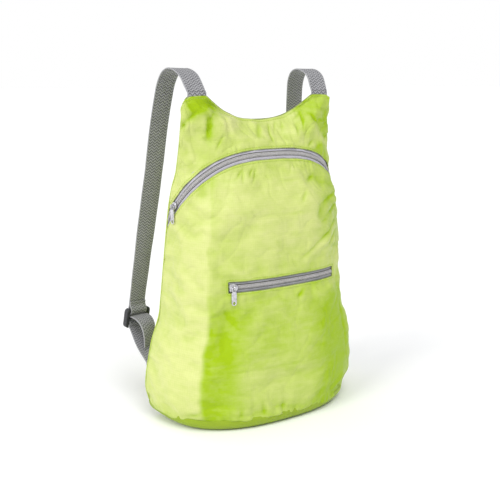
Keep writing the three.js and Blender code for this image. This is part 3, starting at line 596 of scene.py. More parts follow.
def spline_weights(part):
    """Weights of the four neighbours of a place on a smooth cubic curve."""
    return [
        (1 - part) ** 3 / 6,
        (3 * part**3 - 6 * part**2 + 4) / 6,
        (-3 * part**3 + 3 * part**2 + 3 * part + 1) / 6,
        part**3 / 6,
    ]


def settled_by(moved, u, z):
    """How far the settled cloth has moved at places of a panel."""
    if moved is None:
        return np.zeros((*u.shape, 3))
    lines, low, top, _ = settle_grid()
    i = np.clip((u + 1) / 2 * (SETTLE_COLUMNS - 1), 0, SETTLE_COLUMNS - 1)
    top_here = np.interp(u.ravel(), lines, top).reshape(u.shape)
    j = np.clip((z - low) / (top_here - low), 0, 1) * (SETTLE_ROWS - 1)
    grid = np.pad(moved, ((2, 2), (2, 2), (0, 0)), "edge")
    base_i = np.minimum(i.astype(int), SETTLE_COLUMNS - 2)
    base_j = np.minimum(j.astype(int), SETTLE_ROWS - 2)
    total = np.zeros((*u.shape, 3))
    for a, wide in enumerate(spline_weights(i - base_i)):
        for b, high in enumerate(spline_weights(j - base_j)):
            total += grid[base_i + a + 1, base_j + b + 1] * (wide * high)[..., None]
    return total


# Mesh making

CRISP_EDGE = 40  # degrees between faces past which a hard part's edge isn't smoothed


def add_object(name, data):
    made = bpy.data.objects.new(name, data)
    bpy.context.scene.collection.objects.link(made)
    return made


def make_piece(name, points, faces, material, slot, nodes=(), attributes=None):
    """A piece of the dressed bag from points in millimetres."""
    mesh = bpy.data.meshes.new(name)
    mesh.from_pydata((np.asarray(points) * MM).tolist(), [], [list(face) for face in faces])
    for key, values in (attributes or {}).items():
        values = np.asarray(values, np.float32)
        kind = "FLOAT_VECTOR" if values.ndim == 2 else "FLOAT"
        field = "vector" if values.ndim == 2 else "value"
        mesh.attributes.new(key, kind, "POINT").data.foreach_set(field, values.ravel())
    mesh.validate()
    mesh.shade_smooth()
    return finish_piece(add_object(name, mesh), material, slot, "bag", nodes)


def finish_piece(piece, material, slot, body, nodes):
    piece.data.materials.clear()
    piece.data.materials.append(material)
    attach(piece, body)
    if nodes:
        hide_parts(*nodes)
    return piece


def sheet_faces(keep):
    """Quads of a closed sheet over a grid of cells, and the grid points that it uses."""
    columns, rows = keep.shape[0] + 1, keep.shape[1] + 1
    layer = columns * rows
    at = np.arange(layer).reshape(columns, rows)
    padded = np.pad(keep, 1)
    quads = []

    def add(where, a, b, c, d):
        quads.append(np.stack([a[where], b[where], c[where], d[where]], -1))

    a, b, c, d = at[:-1, :-1], at[1:, :-1], at[1:, 1:], at[:-1, 1:]
    add(keep, a, b, c, d)
    add(keep, a + layer, d + layer, c + layer, b + layer)
    add(keep & ~padded[1:-1, :-2], a, a + layer, b + layer, b)
    add(keep & ~padded[2:, 1:-1], b, b + layer, c + layer, c)
    add(keep & ~padded[1:-1, 2:], c, c + layer, d + layer, d)
    add(keep & ~padded[:-2, 1:-1], d, d + layer, a + layer, a)
    faces = np.concatenate(quads)
    used, faces = np.unique(faces, return_inverse=True)
    return used, faces.reshape(-1, 4)


def sheet_piece(name, outer, inner, cloth, edge, material, slot, nodes, keep=None):
    """A closed sheet between two grids of points, with its cloth coordinates and edge distance."""
    if keep is None:
        keep = np.ones((outer.shape[0] - 1, outer.shape[1] - 1), bool)
    used, faces = sheet_faces(keep)
    points = np.concatenate([outer.reshape(-1, 3), inner.reshape(-1, 3)])[used]
    fields = {
        "cloth": np.concatenate([cloth.reshape(-1, 3)] * 2)[used],
        "edge": np.concatenate([edge.ravel()] * 2)[used],
    }
    make_piece(name, points, faces, material, slot, nodes, fields)


def copies(template, faces, places, axes):
    """One mesh of the same small shape at many places. axes[k] holds its x, y and z directions."""
    points = np.einsum("vi,kij->kvj", template, axes) + places[:, None, :]
    shift = np.arange(len(places))[:, None, None] * len(template)
    return points.reshape(-1, 3), (np.asarray(faces)[None] + shift).reshape(-1, len(faces[0]))


def capsule(length, radius, sides=6):
    """A short rounded rod along x."""
    stations = [(-0.5, 0.35), (-0.38, 0.9), (0.38, 0.9), (0.5, 0.35)]
    turn = np.arange(sides) * 2 * np.pi / sides
    rings = []
    for at, wide in stations:
        reach = wide * radius
        ring = [np.full(sides, at * length), reach * np.cos(turn), reach * np.sin(turn)]
        rings.append(np.stack(ring, -1))
    return np.concatenate(rings), ring_faces(len(stations), sides)


def ring_faces(rings, sides):
    """Triangles of a tube of rings, closed at both ends."""
    faces = []
    for k in range(rings - 1):
        for i in range(sides):
            j = (i + 1) % sides
            a, b = k * sides + i, k * sides + j
            faces += [(a, b, b + sides), (a, b + sides, a + sides)]
    last = (rings - 1) * sides
    for i in range(1, sides - 1):
        faces += [(0, i + 1, i), (last, last + i, last + i + 1)]
    return faces


def solid_plate(outline, holes, low, high, bevel):
    """A bevelled plate from flat outlines, between two heights."""
    made = bmesh.new()
    for loop in [outline, *holes]:
        corners = [made.verts.new((x, y, low)) for x, y in loop]
        for k, corner in enumerate(corners):
            made.edges.new((corner, corners[(k + 1) % len(corners)]))
    bmesh.ops.triangle_fill(made, edges=made.edges[:], use_beauty=True)
    grown = bmesh.ops.extrude_face_region(made, geom=made.faces[:])
    raised = [part for part in grown["geom"] if isinstance(part, bmesh.types.BMVert)]
    bmesh.ops.translate(made, verts=raised, vec=(0, 0, high - low))
    bmesh.ops.recalc_face_normals(made, faces=made.faces[:])
    bmesh.ops.dissolve_limit(made, angle_limit=0.01, verts=made.verts[:], edges=made.edges[:])
    rims = [e for e in made.edges if len(e.link_faces) == 2 and e.calc_face_angle() > 0.9]
    bmesh.ops.bevel(made, geom=rims, offset=bevel, segments=3, profile=0.6, affect="EDGES")
    bmesh.ops.triangulate(made, faces=made.faces[:])
    mesh = bpy.data.meshes.new("plate")
    made.to_mesh(mesh)
    made.free()
    return mesh


def joined(meshes, name):
    """The boolean union of several meshes, as one object."""
    parts = []
    for mesh in meshes:
        parts.append(add_object(name, mesh))
    for part in parts[1:]:
        union = parts[0].modifiers.new("union", "BOOLEAN")
        union.operation = "UNION"
        union.solver = "EXACT"
        union.object = part
    shown = parts[0].evaluated_get(bpy.context.evaluated_depsgraph_get())
    whole = bpy.data.meshes.new_from_object(shown)
    for part in parts:
        bpy.data.objects.remove(part)
    return add_object(name, whole)


def set_in_place(piece, origin, x_axis, y_axis, z_axis):
    """Moves a small part's mesh from its own frame, in millimetres, to its place on the bag."""
    turn = Matrix(np.stack([x_axis, y_axis, z_axis], 1).tolist()).to_4x4()
    piece.data.transform(Matrix.Translation(Vector(origin) * MM) @ turn @ Matrix.Scale(MM, 4))
    piece.data.update()


def hard_piece(name, meshes, origin, axes, material, slot, body, node):
    """A moulded or cast part from overlapping meshes, set in place with its edges kept crisp."""
    piece = joined(meshes, name)
    set_in_place(piece, origin, *axes)
    piece.data.shade_smooth()
    piece.data.set_sharp_from_angle(angle=np.radians(CRISP_EDGE))
    finish_piece(piece, material, slot, body, [node])


# Materials


class Socket:
    """A shader socket that can be used in sums with other sockets and with numbers."""

    def __init__(self, finish, socket):
        self.finish = finish
        self.socket = socket

    def sum(self, operation, *values):
        inputs = dict(enumerate(values))
        return self.finish.node("ShaderNodeMath", {"operation": operation}, inputs)

    def __add__(self, other):
        return self.sum("ADD", self, other)

    def __sub__(self, other):
        return self.sum("SUBTRACT", self, other)

    def __rsub__(self, other):
        return self.sum("SUBTRACT", other, self)

    def __mul__(self, other):
        return self.sum("MULTIPLY", self, other)

    def __truediv__(self, other):
        return self.sum("DIVIDE", self, other)

    def __neg__(self):
        return self.sum("MULTIPLY", self, -1.0)

    def __abs__(self):
        return self.sum("ABSOLUTE", self)

    __radd__ = __add__
    __rmul__ = __mul__

    def fraction(self):
        return self.sum("FRACT", self)

    def sine(self):
        return self.sum("SINE", self)

    def at_most(self, other):
        return self.sum("MINIMUM", self, other)

    def at_least(self, other):
        return self.sum("MAXIMUM", self, other)

    def limited(self, low=0.0, high=1.0):
        return self.at_least(low).at_most(high)

    def rises(self, low, high):
        """0 below low and 1 above high."""
        return ((self - low) / (high - low)).limited()


class Finish:
    """One procedural material."""

    def __init__(self, name, **constants):
        self.material = bpy.data.materials.new(name)
        self.material.use_nodes = True
        self.tree = self.material.node_tree
        self.shader = self.tree.nodes["Principled BSDF"]
        for key, value in constants.items():
            self.shader.inputs[key.replace("_", " ")].default_value = value

    def node(self, kind, settings=None, inputs=None, output=0):
        made = self.tree.nodes.new(kind)
        for key, value in (settings or {}).items():
            setattr(made, key, value)
        for key, value in (inputs or {}).items():
            self.feed(made.inputs[key], value)
        return Socket(self, made.outputs[output])

    def feed(self, socket, value):
        if isinstance(value, Socket):
            self.tree.links.new(value.socket, socket)
        else:
            socket.default_value = value

    def shade(self, **inputs):
        for key, value in inputs.items():
            self.feed(self.shader.inputs[key.replace("_", " ")], value)

    def mixed(self, share, first, second, blend="MIX"):
        settings = {"data_type": "RGBA", "blend_type": blend}
        return self.node("ShaderNodeMix", settings, {0: share, 6: first, 7: second}, 2)

    def field(self, name, output="Vector"):
        return self.node("ShaderNodeAttribute", {"attribute_name": name}, None, output)

    def parts(self, vector):
        made = self.tree.nodes.new("ShaderNodeSeparateXYZ")
        self.feed(made.inputs[0], vector)
        return [Socket(self, output) for output in made.outputs]

    def stretched(self, vector, scale):
        return self.node("ShaderNodeVectorMath", {"operation": "MULTIPLY"}, {0: vector, 1: scale})

    def noise(self, vector, scale, detail=3.0, roughness=0.55):
        inputs = {"Vector": vector, "Scale": scale, "Detail": detail, "Roughness": roughness}
        return self.node("ShaderNodeTexNoise", None, inputs)

    def place(self):
        """Place on the object, in millimetres."""
        where = self.node("ShaderNodeTexCoord", None, None, "Object")
        return self.stretched(where, (1000.0,) * 3)

    def bumped(self, height, distance, strength=1.0):
        inputs = {"Height": height, "Distance": distance * MM, "Strength": strength}
        self.shade(Normal=self.node("ShaderNodeBump", None, inputs))


def paint(red, green, blue):
    """A colour in the shader's linear light from the screen's 0 to 255."""
    share = np.array([red, green, blue]) / 255
    linear = np.where(share <= 0.04045, share / 12.92, ((share + 0.055) / 1.055) ** 2.4)
    return (*linear.tolist(), 1.0)


RIPSTOP = 2.6  # between two thick yarns, in millimetres
WEAVE = 0.5


def ripstop(name, pale_and_lit, deep, worn, seam, haze):
    """Thin ripstop nylon: a square grid of thick yarns in a plain weave, paler where it is creased and
    worn. Its colour also carries painted light and shade: deeper in its dents, creases and hollows, paler
    where the cloth is drawn tight, with a painted shade line along its cut edges."""
    cloth = Finish(name, IOR=1.33, Sheen_Weight=haze, Sheen_Roughness=0.4, Sheen_Tint=(1, 0.97, 0.95, 1))
    x, z, light_and_shade = cloth.parts(cloth.field("cloth"))
    edge = cloth.field("edge", "Fac")
    yarns = [abs((way / RIPSTOP).fraction() - 0.5).rises(0.4, 0.47) for way in (x, z)]
    grid = yarns[0].at_least(yarns[1])
    weave = (x * (2 * np.pi / WEAVE)).sine() * (z * (2 * np.pi / WEAVE)).sine()
    place = cloth.place()
    clouds = cloth.noise(place, 0.018, 2.0)
    mottle = cloth.noise(place, 0.16, 4.0)
    streaks = cloth.noise(cloth.stretched(place, (1.0, 1.0, 3.5)), 0.045, 3.0)
    # Painted light and shade from the panels, with cloudy, mottled and streaky tone that differs at
    # random, mixes the lit and the shaded colour.
    depth = light_and_shade + (clouds - 0.5) * 0.35 + (mottle - 0.5) * 0.3 + (streaks - 0.5) * 0.5
    doubled = 1 - edge.rises(2.6, 3.4)
    colour = cloth.mixed((depth + doubled * 0.2).limited(), pale_and_lit, deep)
    colour = cloth.mixed(grid * 0.14, colour, deep)
    wear = (1 - edge.rises(0.9, 2.0)) * mottle.rises(0.4, 0.65) * 0.5
    colour = cloth.mixed(wear, colour, worn)
    # Painted shade: a dark line along the cut edges, where the fold of a seam would shade.
    colour = cloth.mixed((1 - edge.rises(0.45, 0.95)) * 0.6, colour, seam)
    rough = 0.4 + (mottle - 0.5) * 0.2 - grid * 0.05
    cloth.shade(Base_Color=colour, Roughness=rough)
    cloth.bumped(grid * 0.7 + weave * 0.2 + cloth.noise(place, 0.5, 3.0) * 1.6, 0.16, 0.5)
    return cloth.material


def woven_tape(name, base, shade):
    """Zip tape: fine ribs along the zip."""
    tape = Finish(name, Sheen_Weight=0.15)
    along, across, _ = tape.parts(tape.field("cloth"))
    ribs = (across * (2 * np.pi / 0.9)).sine()
    picks = (along * (2 * np.pi / 0.7)).sine()
    mottle = tape.noise(tape.place(), 0.3, 4.0)
    share = (ribs * 0.14 + picks * 0.06 + (mottle - 0.5) * 0.6 + 0.45).limited()
    tape.shade(Base_Color=tape.mixed(share, base, shade), Roughness=0.72 + (mottle - 0.5) * 0.2)
    tape.bumped(ribs * 0.6 + picks * 0.4, 0.12, 0.8)
    return tape.material


def herringbone(name, base, shade, selvedge):
    """Polypropylene webbing: a chevron weave between two plain edges."""
    web = Finish(name, Sheen_Weight=0.1)
    across, along, _ = web.parts(web.field("cloth"))
    zigzag = abs((across / 6.25).fraction() - 0.5) * 6.25
    chevron = ((along + zigzag) * (2 * np.pi / 3.6)).sine()
    cords = (across * (2 * np.pi / 0.8)).sine()
    rim = abs(across).rises(11.2, 11.6)
    mottle = web.noise(web.place(), 0.25, 4.0)
    share = (chevron * 0.5 * (1 - rim) + cords * 0.1 + (mottle - 0.5) * 0.6 + 0.42).limited()
    colour = web.mixed(rim * 0.6, web.mixed(share, base, shade), selvedge)
    web.shade(Base_Color=colour, Roughness=0.62 + (mottle - 0.5) * 0.2 - rim * 0.1)
    web.bumped(chevron * 0.7 * (1 - rim) + cords * 0.35, 0.2, 0.9)
    return web.material


def thread(name, base, shade):
    yarn = Finish(name, Sheen_Weight=0.2)
    twist = yarn.noise(yarn.stretched(yarn.place(), (3.0, 3.0, 3.0)), 1.0, 2.0)
    yarn.shade(Base_Color=yarn.mixed(twist.rises(0.3, 0.7), base, shade), Roughness=0.5 + twist * 0.15)
    yarn.bumped(twist, 0.05, 0.6)
    return yarn.material


def moulded(name, base, worn):
    """Moulded nylon with a fine grain, scuffed here and there."""
    plastic = Finish(name, IOR=1.5)
    grain = plastic.noise(plastic.place(), 2.2, 4.0)
    scuff = plastic.noise(plastic.stretched(plastic.place(), (1.0, 0.25, 1.0)), 0.5, 5.0).rises(0.56, 0.7)
    rough = 0.38 + grain * 0.16 + scuff * 0.15
    plastic.shade(Base_Color=plastic.mixed(scuff * 0.45, base, worn), Roughness=rough)
    plastic.bumped(grain, 0.08, 0.5)
    return plastic.material


def nylon_coil(name, base, shade):
    coil = Finish(name, IOR=1.55)
    mottle = coil.noise(coil.place(), 0.7, 3.0)
    coil.shade(Base_Color=coil.mixed(mottle.rises(0.3, 0.7), base, shade), Roughness=0.34 + mottle * 0.15)
    coil.bumped(mottle, 0.05, 0.4)
    return coil.material


def plated(name, base, dull):
    """Nickel-plated die casting: bright, with dull patches and fine scratches."""
    metal = Finish(name, Metallic=1.0)
    patches = metal.noise(metal.place(), 0.35, 4.0)
    scratches = metal.noise(metal.stretched(metal.place(), (6.0, 6.0, 0.5)), 1.0, 3.0)
    metal.shade(Base_Color=metal.mixed(patches.rises(0.35, 0.7), base, dull))
    metal.shade(Roughness=0.2 + patches * 0.16 + scratches * 0.1)
    metal.bumped(scratches * 0.6 + patches * 0.4, 0.05, 0.35)
    return metal.material


# Painted shade for the dark line along the cloth's cut edges.
SEAM_SHADE = paint(98, 112, 40)
CLOTH_HAZE = 0.02
# The first two colours of each cloth are lit and shaded copies of it, mixed by painted light and shade and
# by random tone.
SHELL = ripstop(
    "shell_ripstop", paint(213, 219, 142), paint(158, 190, 0), paint(224, 230, 172), SEAM_SHADE, CLOTH_HAZE
)
# The base's colours are darker than the shell's, partly its own deeper colour and partly painted shade of
# its low rim.
BASE = ripstop(
    "base_ripstop", paint(150, 174, 40), paint(114, 144, 4), paint(180, 196, 100), SEAM_SHADE, CLOTH_HAZE
)
MAIN_TAPE = woven_tape("main_zip_tape", paint(202, 199, 209), paint(176, 173, 184))
POCKET_TAPE = woven_tape("pocket_zip_tape", paint(164, 164, 168), paint(130, 130, 134))
COIL = nylon_coil("zip_coil", paint(192, 190, 190), paint(156, 154, 154))
METAL = plated("zip_nickel", paint(225, 224, 228), paint(178, 176, 182))
WEBBING = herringbone("strap_webbing", paint(170, 170, 173), paint(76, 76, 80), paint(172, 172, 176))
BUCKLE = moulded("buckle_nylon", paint(48, 49, 52), paint(104, 105, 108))
LIME_THREAD = thread("lime_thread", paint(196, 214, 92), paint(160, 186, 50))
GREY_THREAD = thread("grey_thread", paint(112, 112, 116), paint(84, 84, 88))


# Fabric panels

STITCH_LENGTH = 2.5
STITCH_PITCH = 3.4
STITCH_IN = 3.0  # from a turned edge to its stitches
STITCH_RADIUS = 0.3
STITCH_RISE = 0.12  # how far a stitch's middle stands off the cloth
CORNER_LIFT = 5.0  # how far the base's back left corner is tucked up


def corner_tucked(points):
    """The back left corner of the base is tucked up a little off the floor."""
    x, y, z = points[..., 0], points[..., 1], points[..., 2]
    lift = CORNER_LIFT * ease(-x, 60, 132) * ease(y, -30, 45) * (1 - ease(z, 4, 60))
    moved = points.copy()
    moved[..., 2] += lift
    return moved


class Panel:
    """A sewn panel as a grid of cloth: its outer face, the way out, and its places on the cloth."""

    def __init__(self, lines, heights, points, out_by, light_and_shade, moved=0):
        self.lines = lines
        self.heights = heights
        self.outer = corner_tucked(points + grid_normals(points) * out_by[..., None] + moved)
        self.ways = grid_normals(self.outer)
        self.light_and_shade = light_and_shade

    def at(self, line, height):
        """Place on the outer face and the way out there."""
        i = np.clip(np.searchsorted(self.lines, line) - 1, 0, len(self.lines) - 2)
        t = np.clip((line - self.lines[i]) / (self.lines[i + 1] - self.lines[i]), 0, 1)
        found = []
        for grid in (self.outer, self.ways):
            sides = []
            for k in (i, i + 1):
                row = np.array([np.interp(height, self.heights[k], grid[k, :, n]) for n in range(3)])
                sides.append(row)
            found.append(sides[0] * (1 - t) + sides[1] * t)
        return found[0], found[1] / np.linalg.norm(found[1])

    def dress(self, name, cloth_x, edge, material, slot, nodes, keep=None):
        thin = FABRIC - 0.8 * np.exp(-((edge / 0.8) ** 2))
        inner = self.outer - self.ways * thin[..., None]
        cloth = np.stack([cloth_x, self.heights, self.light_and_shade], -1)
        sheet_piece(name, self.outer, inner, cloth, edge, material, slot, nodes, keep)


# Millimetres between a panel's lines of cloth, and how many rows it has along them.
FRONT_STEP = 1.65
YOKE_STEP = 1.35
BASE_STEP = 2.4
ZIP_STEP = 2.2
ROWS_BELOW_SLOT = 96
ROWS_IN_SLOT = 6
ROWS_ABOVE_SLOT = 88
YOKE_ROWS = 64
BACK_LINES = 111
BACK_ROWS = 150


def cloth_lines(step):
    """Lines of cloth round the front, with one at each end of the pocket zip."""
    end = POCKET_LENGTH / 2 / HALF_WRAP
    side = max(int((1 - end) * HALF_WRAP / step), 4)
    middle = max(int(2 * end * HALF_WRAP / step), 4)
    parts = [np.linspace(-1, -end, side + 1)[:-1], np.linspace(-end, end, middle + 1)]
    return np.concatenate([*parts, np.linspace(end, 1, side + 1)[1:]])


def rows_between(low, high, count):
    t = np.linspace(0, 1, count + 1)
    return low[:, None] * (1 - t) + high[:, None] * t


def edge_slope(lines, heights):
    """Cosine of an edge's slope on the cloth."""
    return 1 / np.hypot(1, np.gradient(heights, lines * HALF_WRAP))


# Height of the base seam round the cloth of the front, where the slack cloth hangs over it.
BASE_LINE = table(
    "round up",
    (-200, 16),
    (-165, 9),
    (-130, 10),
    (-112, 15),
    (-96, 16),
    (-84, 15.5),
    (-66, 13.5),
    (-40, 12.5),
    (0, 11.5),
    (35, 10.5),
    (65, 8.5),
    (100, 9),
    (150, 11),
    (200, 16),
)


def base_line(lines):
    x = lines * HALF_WRAP
    up = np.interp(x, [row["round"] for row in BASE_LINE], [row["up"] for row in BASE_LINE])
    waver = 0.7 * plane_waves(x, 0 * x, 16, 20, 5) + 0.5 * plane_waves(x, 0 * x, 38, 24, 5)
    return up + waver * ease((1 - np.abs(lines)) * HALF_WRAP, 0, 25)


def front_points(u, z):
    """The front's cloth, which hangs a little over the base's rounded rim."""
    turn = np.arccos(1 - np.clip(z / BASE_ROUND, 0, 1))
    over = 0.7 * (1 - ease(z, BASE_ROUND, 2 * BASE_ROUND))
    points = shell(u, np.maximum(z, BASE_ROUND), BASE_ROUND * (1 - np.sin(turn)) - over)
    points[..., 2] = z
    return points


def front_panel(moved):
    lines = cloth_lines(FRONT_STEP)
    slot_low = beside_zip(pocket_height, lines, -ZIP_SHOWING / 2)
    slot_high = beside_zip(pocket_height, lines, ZIP_SHOWING / 2)
    top = beside_zip(arch_height, lines, -ZIP_SHOWING / 2)
    bottom = base_line(lines)
    heights = np.concatenate(
        [
            rows_between(bottom, slot_low, ROWS_BELOW_SLOT)[:, :-1],
            rows_between(slot_low, slot_high, ROWS_IN_SLOT)[:, :-1],
            rows_between(slot_high, top, ROWS_ABOVE_SLOT),
        ],
        axis=1,
    )
    u = lines[:, None] + 0 * heights
    x = u * HALF_WRAP
    to_zip = (top[:, None] - heights) * edge_slope(lines, top)[:, None]
    to_slot = from_slot(x, heights)
    to_base = heights - bottom[:, None]
    to_side = (1 - np.abs(u)) * HALF_WRAP
    free = ease(np.minimum(to_zip, to_slot), 2, 12) * ease(np.minimum(to_base, to_side), 0, 9)
    folds = small_folds(x, heights)
    out_by = (folds + crumple(x, heights, seed=11)) * free
    out_by += turned_hem(to_zip) + turned_hem(to_slot) + plain_seam(to_base) + plain_seam(to_side)
    out_by += pucker(x, to_zip, size=0.8, reach=10, seed=21)
    out_by += pucker(x, to_base, size=1.3, reach=12, seed=22)
    out_by += pucker(heights, to_side, size=0.7, reach=12, seed=23)
    out_by += pucker(x, to_slot, size=0.5, reach=9, seed=24)
    moved = settled_by(moved, u, heights)
    points = front_points(u, heights)
    slack = np.sum(moved * grid_normals(points), -1)
    # Painted light and shade: broad patches, and painted shade in creases and slack hollows.
    light_and_shade = cloth_light_and_shade(x, heights) + crease_shade(folds, slack) * free
    panel = Panel(lines, heights, points, out_by, light_and_shade, moved)
    middles = np.abs(lines[:-1] + lines[1:]) / 2 < POCKET_LENGTH / 2 / HALF_WRAP
    keep = np.ones((len(lines) - 1, heights.shape[1] - 1), bool)
    keep[np.ix_(middles, range(ROWS_BELOW_SLOT, ROWS_BELOW_SLOT + ROWS_IN_SLOT))] = False
    edge = np.minimum(np.minimum(to_zip, to_slot), np.minimum(to_base, to_side) + 3)
    panel.dress("front_cloth", x, edge, SHELL, "shell_fabric", ["front_panel"], keep)
    return panel


# Top edge of the yoke round the outer corner of a shoulder, where it closes onto the back.
CORNER_END = 106
CORNER_AWAY = (106, 140, 178)
CORNER_TOP = (390.3, 388.5, 386.0)


def yoke_panel(moved):
    lines = cloth_lines(YOKE_STEP)
    low = beside_zip(arch_height, lines, ZIP_SHOWING / 2)
    top = np.array([meet_top(lambda z, u=u: shell(u, z)[0]) for u in lines])
    away = np.abs(lines) * HALF_WRAP
    top = np.where(away > CORNER_END, np.maximum(top, np.interp(away, CORNER_AWAY, CORNER_TOP)), top)
    heights = rows_between(low, top, YOKE_ROWS)
    u = lines[:, None] + 0 * heights
    x = u * HALF_WRAP
    to_zip = (heights - low[:, None]) * edge_slope(lines, low)[:, None]
    to_top = (top[:, None] - heights) * edge_slope(lines, top)[:, None]
    to_side = (1 - np.abs(u)) * HALF_WRAP
    free = ease(to_zip, 2, 10) * ease(np.minimum(to_top, to_side), 1, 9)
    folds = small_folds(x, heights)
    out_by = (folds + 1.3 * crumple(x, heights, seed=31)) * free
    out_by += turned_hem(to_zip) + turned_hem(to_top) + plain_seam(to_side) * ease(to_top, 2, 14)
    out_by += pucker(x, to_zip, size=0.7, reach=10, seed=41)
    ruched = 1 + 1.8 * ease(x, 28, 46) * (1 - ease(x, 70, 84))
    out_by += pucker(x, to_top, size=0.6, reach=10, seed=42) * ease(to_top, 0, 5) * ruched
    out_by += pucker(x * 2.2, to_top, size=0.5, reach=6, seed=43) * (ruched - 1)
    moved = settled_by(moved, u, heights)
    points = shell(u, heights)
    drawn = (1 - ease(to_top, 0, 14)) * ease(np.abs(x), 66, 80) * 0.35
    points[..., 1] += drawn * (back_at(heights) + BACK_GAP - points[..., 1])
    slack = np.sum(moved * grid_normals(points), -1)
    # Painted light and shade: broad patches, and painted shade in creases and slack hollows.
    light_and_shade = cloth_light_and_shade(x, heights) + crease_shade(folds, slack) * free
    panel = Panel(lines, heights, points, out_by, light_and_shade, moved)
    edge = np.minimum(np.minimum(to_zip, to_top), to_side + 3)
    panel.dress("yoke_cloth", x, edge, SHELL, "shell_fabric", ["yoke_panel"])
    panel.top = top
    return panel


def back_point(share, z):
    edge_x = np.abs(shell(np.ones(np.shape(z)), z)[..., 0])
    x = edge_x * share
    to_edge = np.minimum(top_edge(x) - z, z - BASE_SEAM) / BULGE_EASE
    bulge = BACK_BULGE * (1 - share * share) * np.sin(np.pi / 2 * np.clip(to_edge, 0, 1))
    return np.stack([x, back_at(z) + BACK_GAP + FABRIC + bulge, z], -1)


def back_panel():
    shares = np.linspace(1, -1, BACK_LINES)
    top = np.array([meet_top(lambda z, s=s: back_point(np.float64(s), z)[0]) for s in shares])
    bottom = np.full(len(shares), BASE_SEAM + SEAM_GAP)
    heights = rows_between(bottom, top, BACK_ROWS)
    share = shares[:, None] + 0 * heights
    points = back_point(share, heights)
    x = points[..., 0]
    to_side = (1 - np.abs(share)) * half_width_at(heights)
    to_top = top[:, None] - heights
    to_base = heights - bottom[:, None]
    free = ease(to_side, 2, 16) * ease(to_top, 16, 40) * ease(to_base, 0, 12)
    upright = 0.9 * plane_waves(x * 1.8, heights * 0.5, size=40, seed=55)
    out_by = (1.3 * crumple(x, heights, seed=51) + upright) * free
    out_by += turned_hem(to_top) + plain_seam(to_side) + plain_seam(to_base)
    out_by += pucker(heights, to_side, size=0.5, reach=9, seed=61)
    out_by += pucker(x, to_base, size=0.8, reach=12, seed=62)
    # Painted shade: the back cloth is drawn deeper in its hollows and a touch paler on its bulges, and a
    # little deeper than the middle tone overall.
    light_and_shade = MIDDLE_TONE + 0.05 + np.clip(-out_by / 12, -0.1, 0.2) * free
    panel = Panel(shares, heights, points, out_by, light_and_shade)
    edge = np.minimum(to_top, np.minimum(to_side, to_base) + 3)
    panel.dress("back_cloth", x, edge, SHELL, "shell_fabric", ["back_panel"])


def base_outline(z, inwards, lines, shares):
    """Outline of the bag at one level, round the front and back across, moved inwards."""
    front = shell(lines, np.full(len(lines), float(z)), inwards)
    half = front[-1, 0]
    behind = np.stack([half * shares, 0 * shares + back_at(z) - inwards, 0 * shares + z], -1)
    front[[0, -1], 1] -= inwards
    whole = np.concatenate([front, behind])
    near = np.clip(1 - (back_at(z) - inwards - whole[:, 1]) / BASE_BACK_TURN, 0, 1)
    whole[:, 1] += (BACK_GAP + FABRIC) * near
    return whole


RIM_OUT = 0.15  # most that the rim's puckers stand out
FLAT_RINGS = (0.02, 0.35, 0.7, 0.9)  # rings of the flat bottom, as shares of its outline


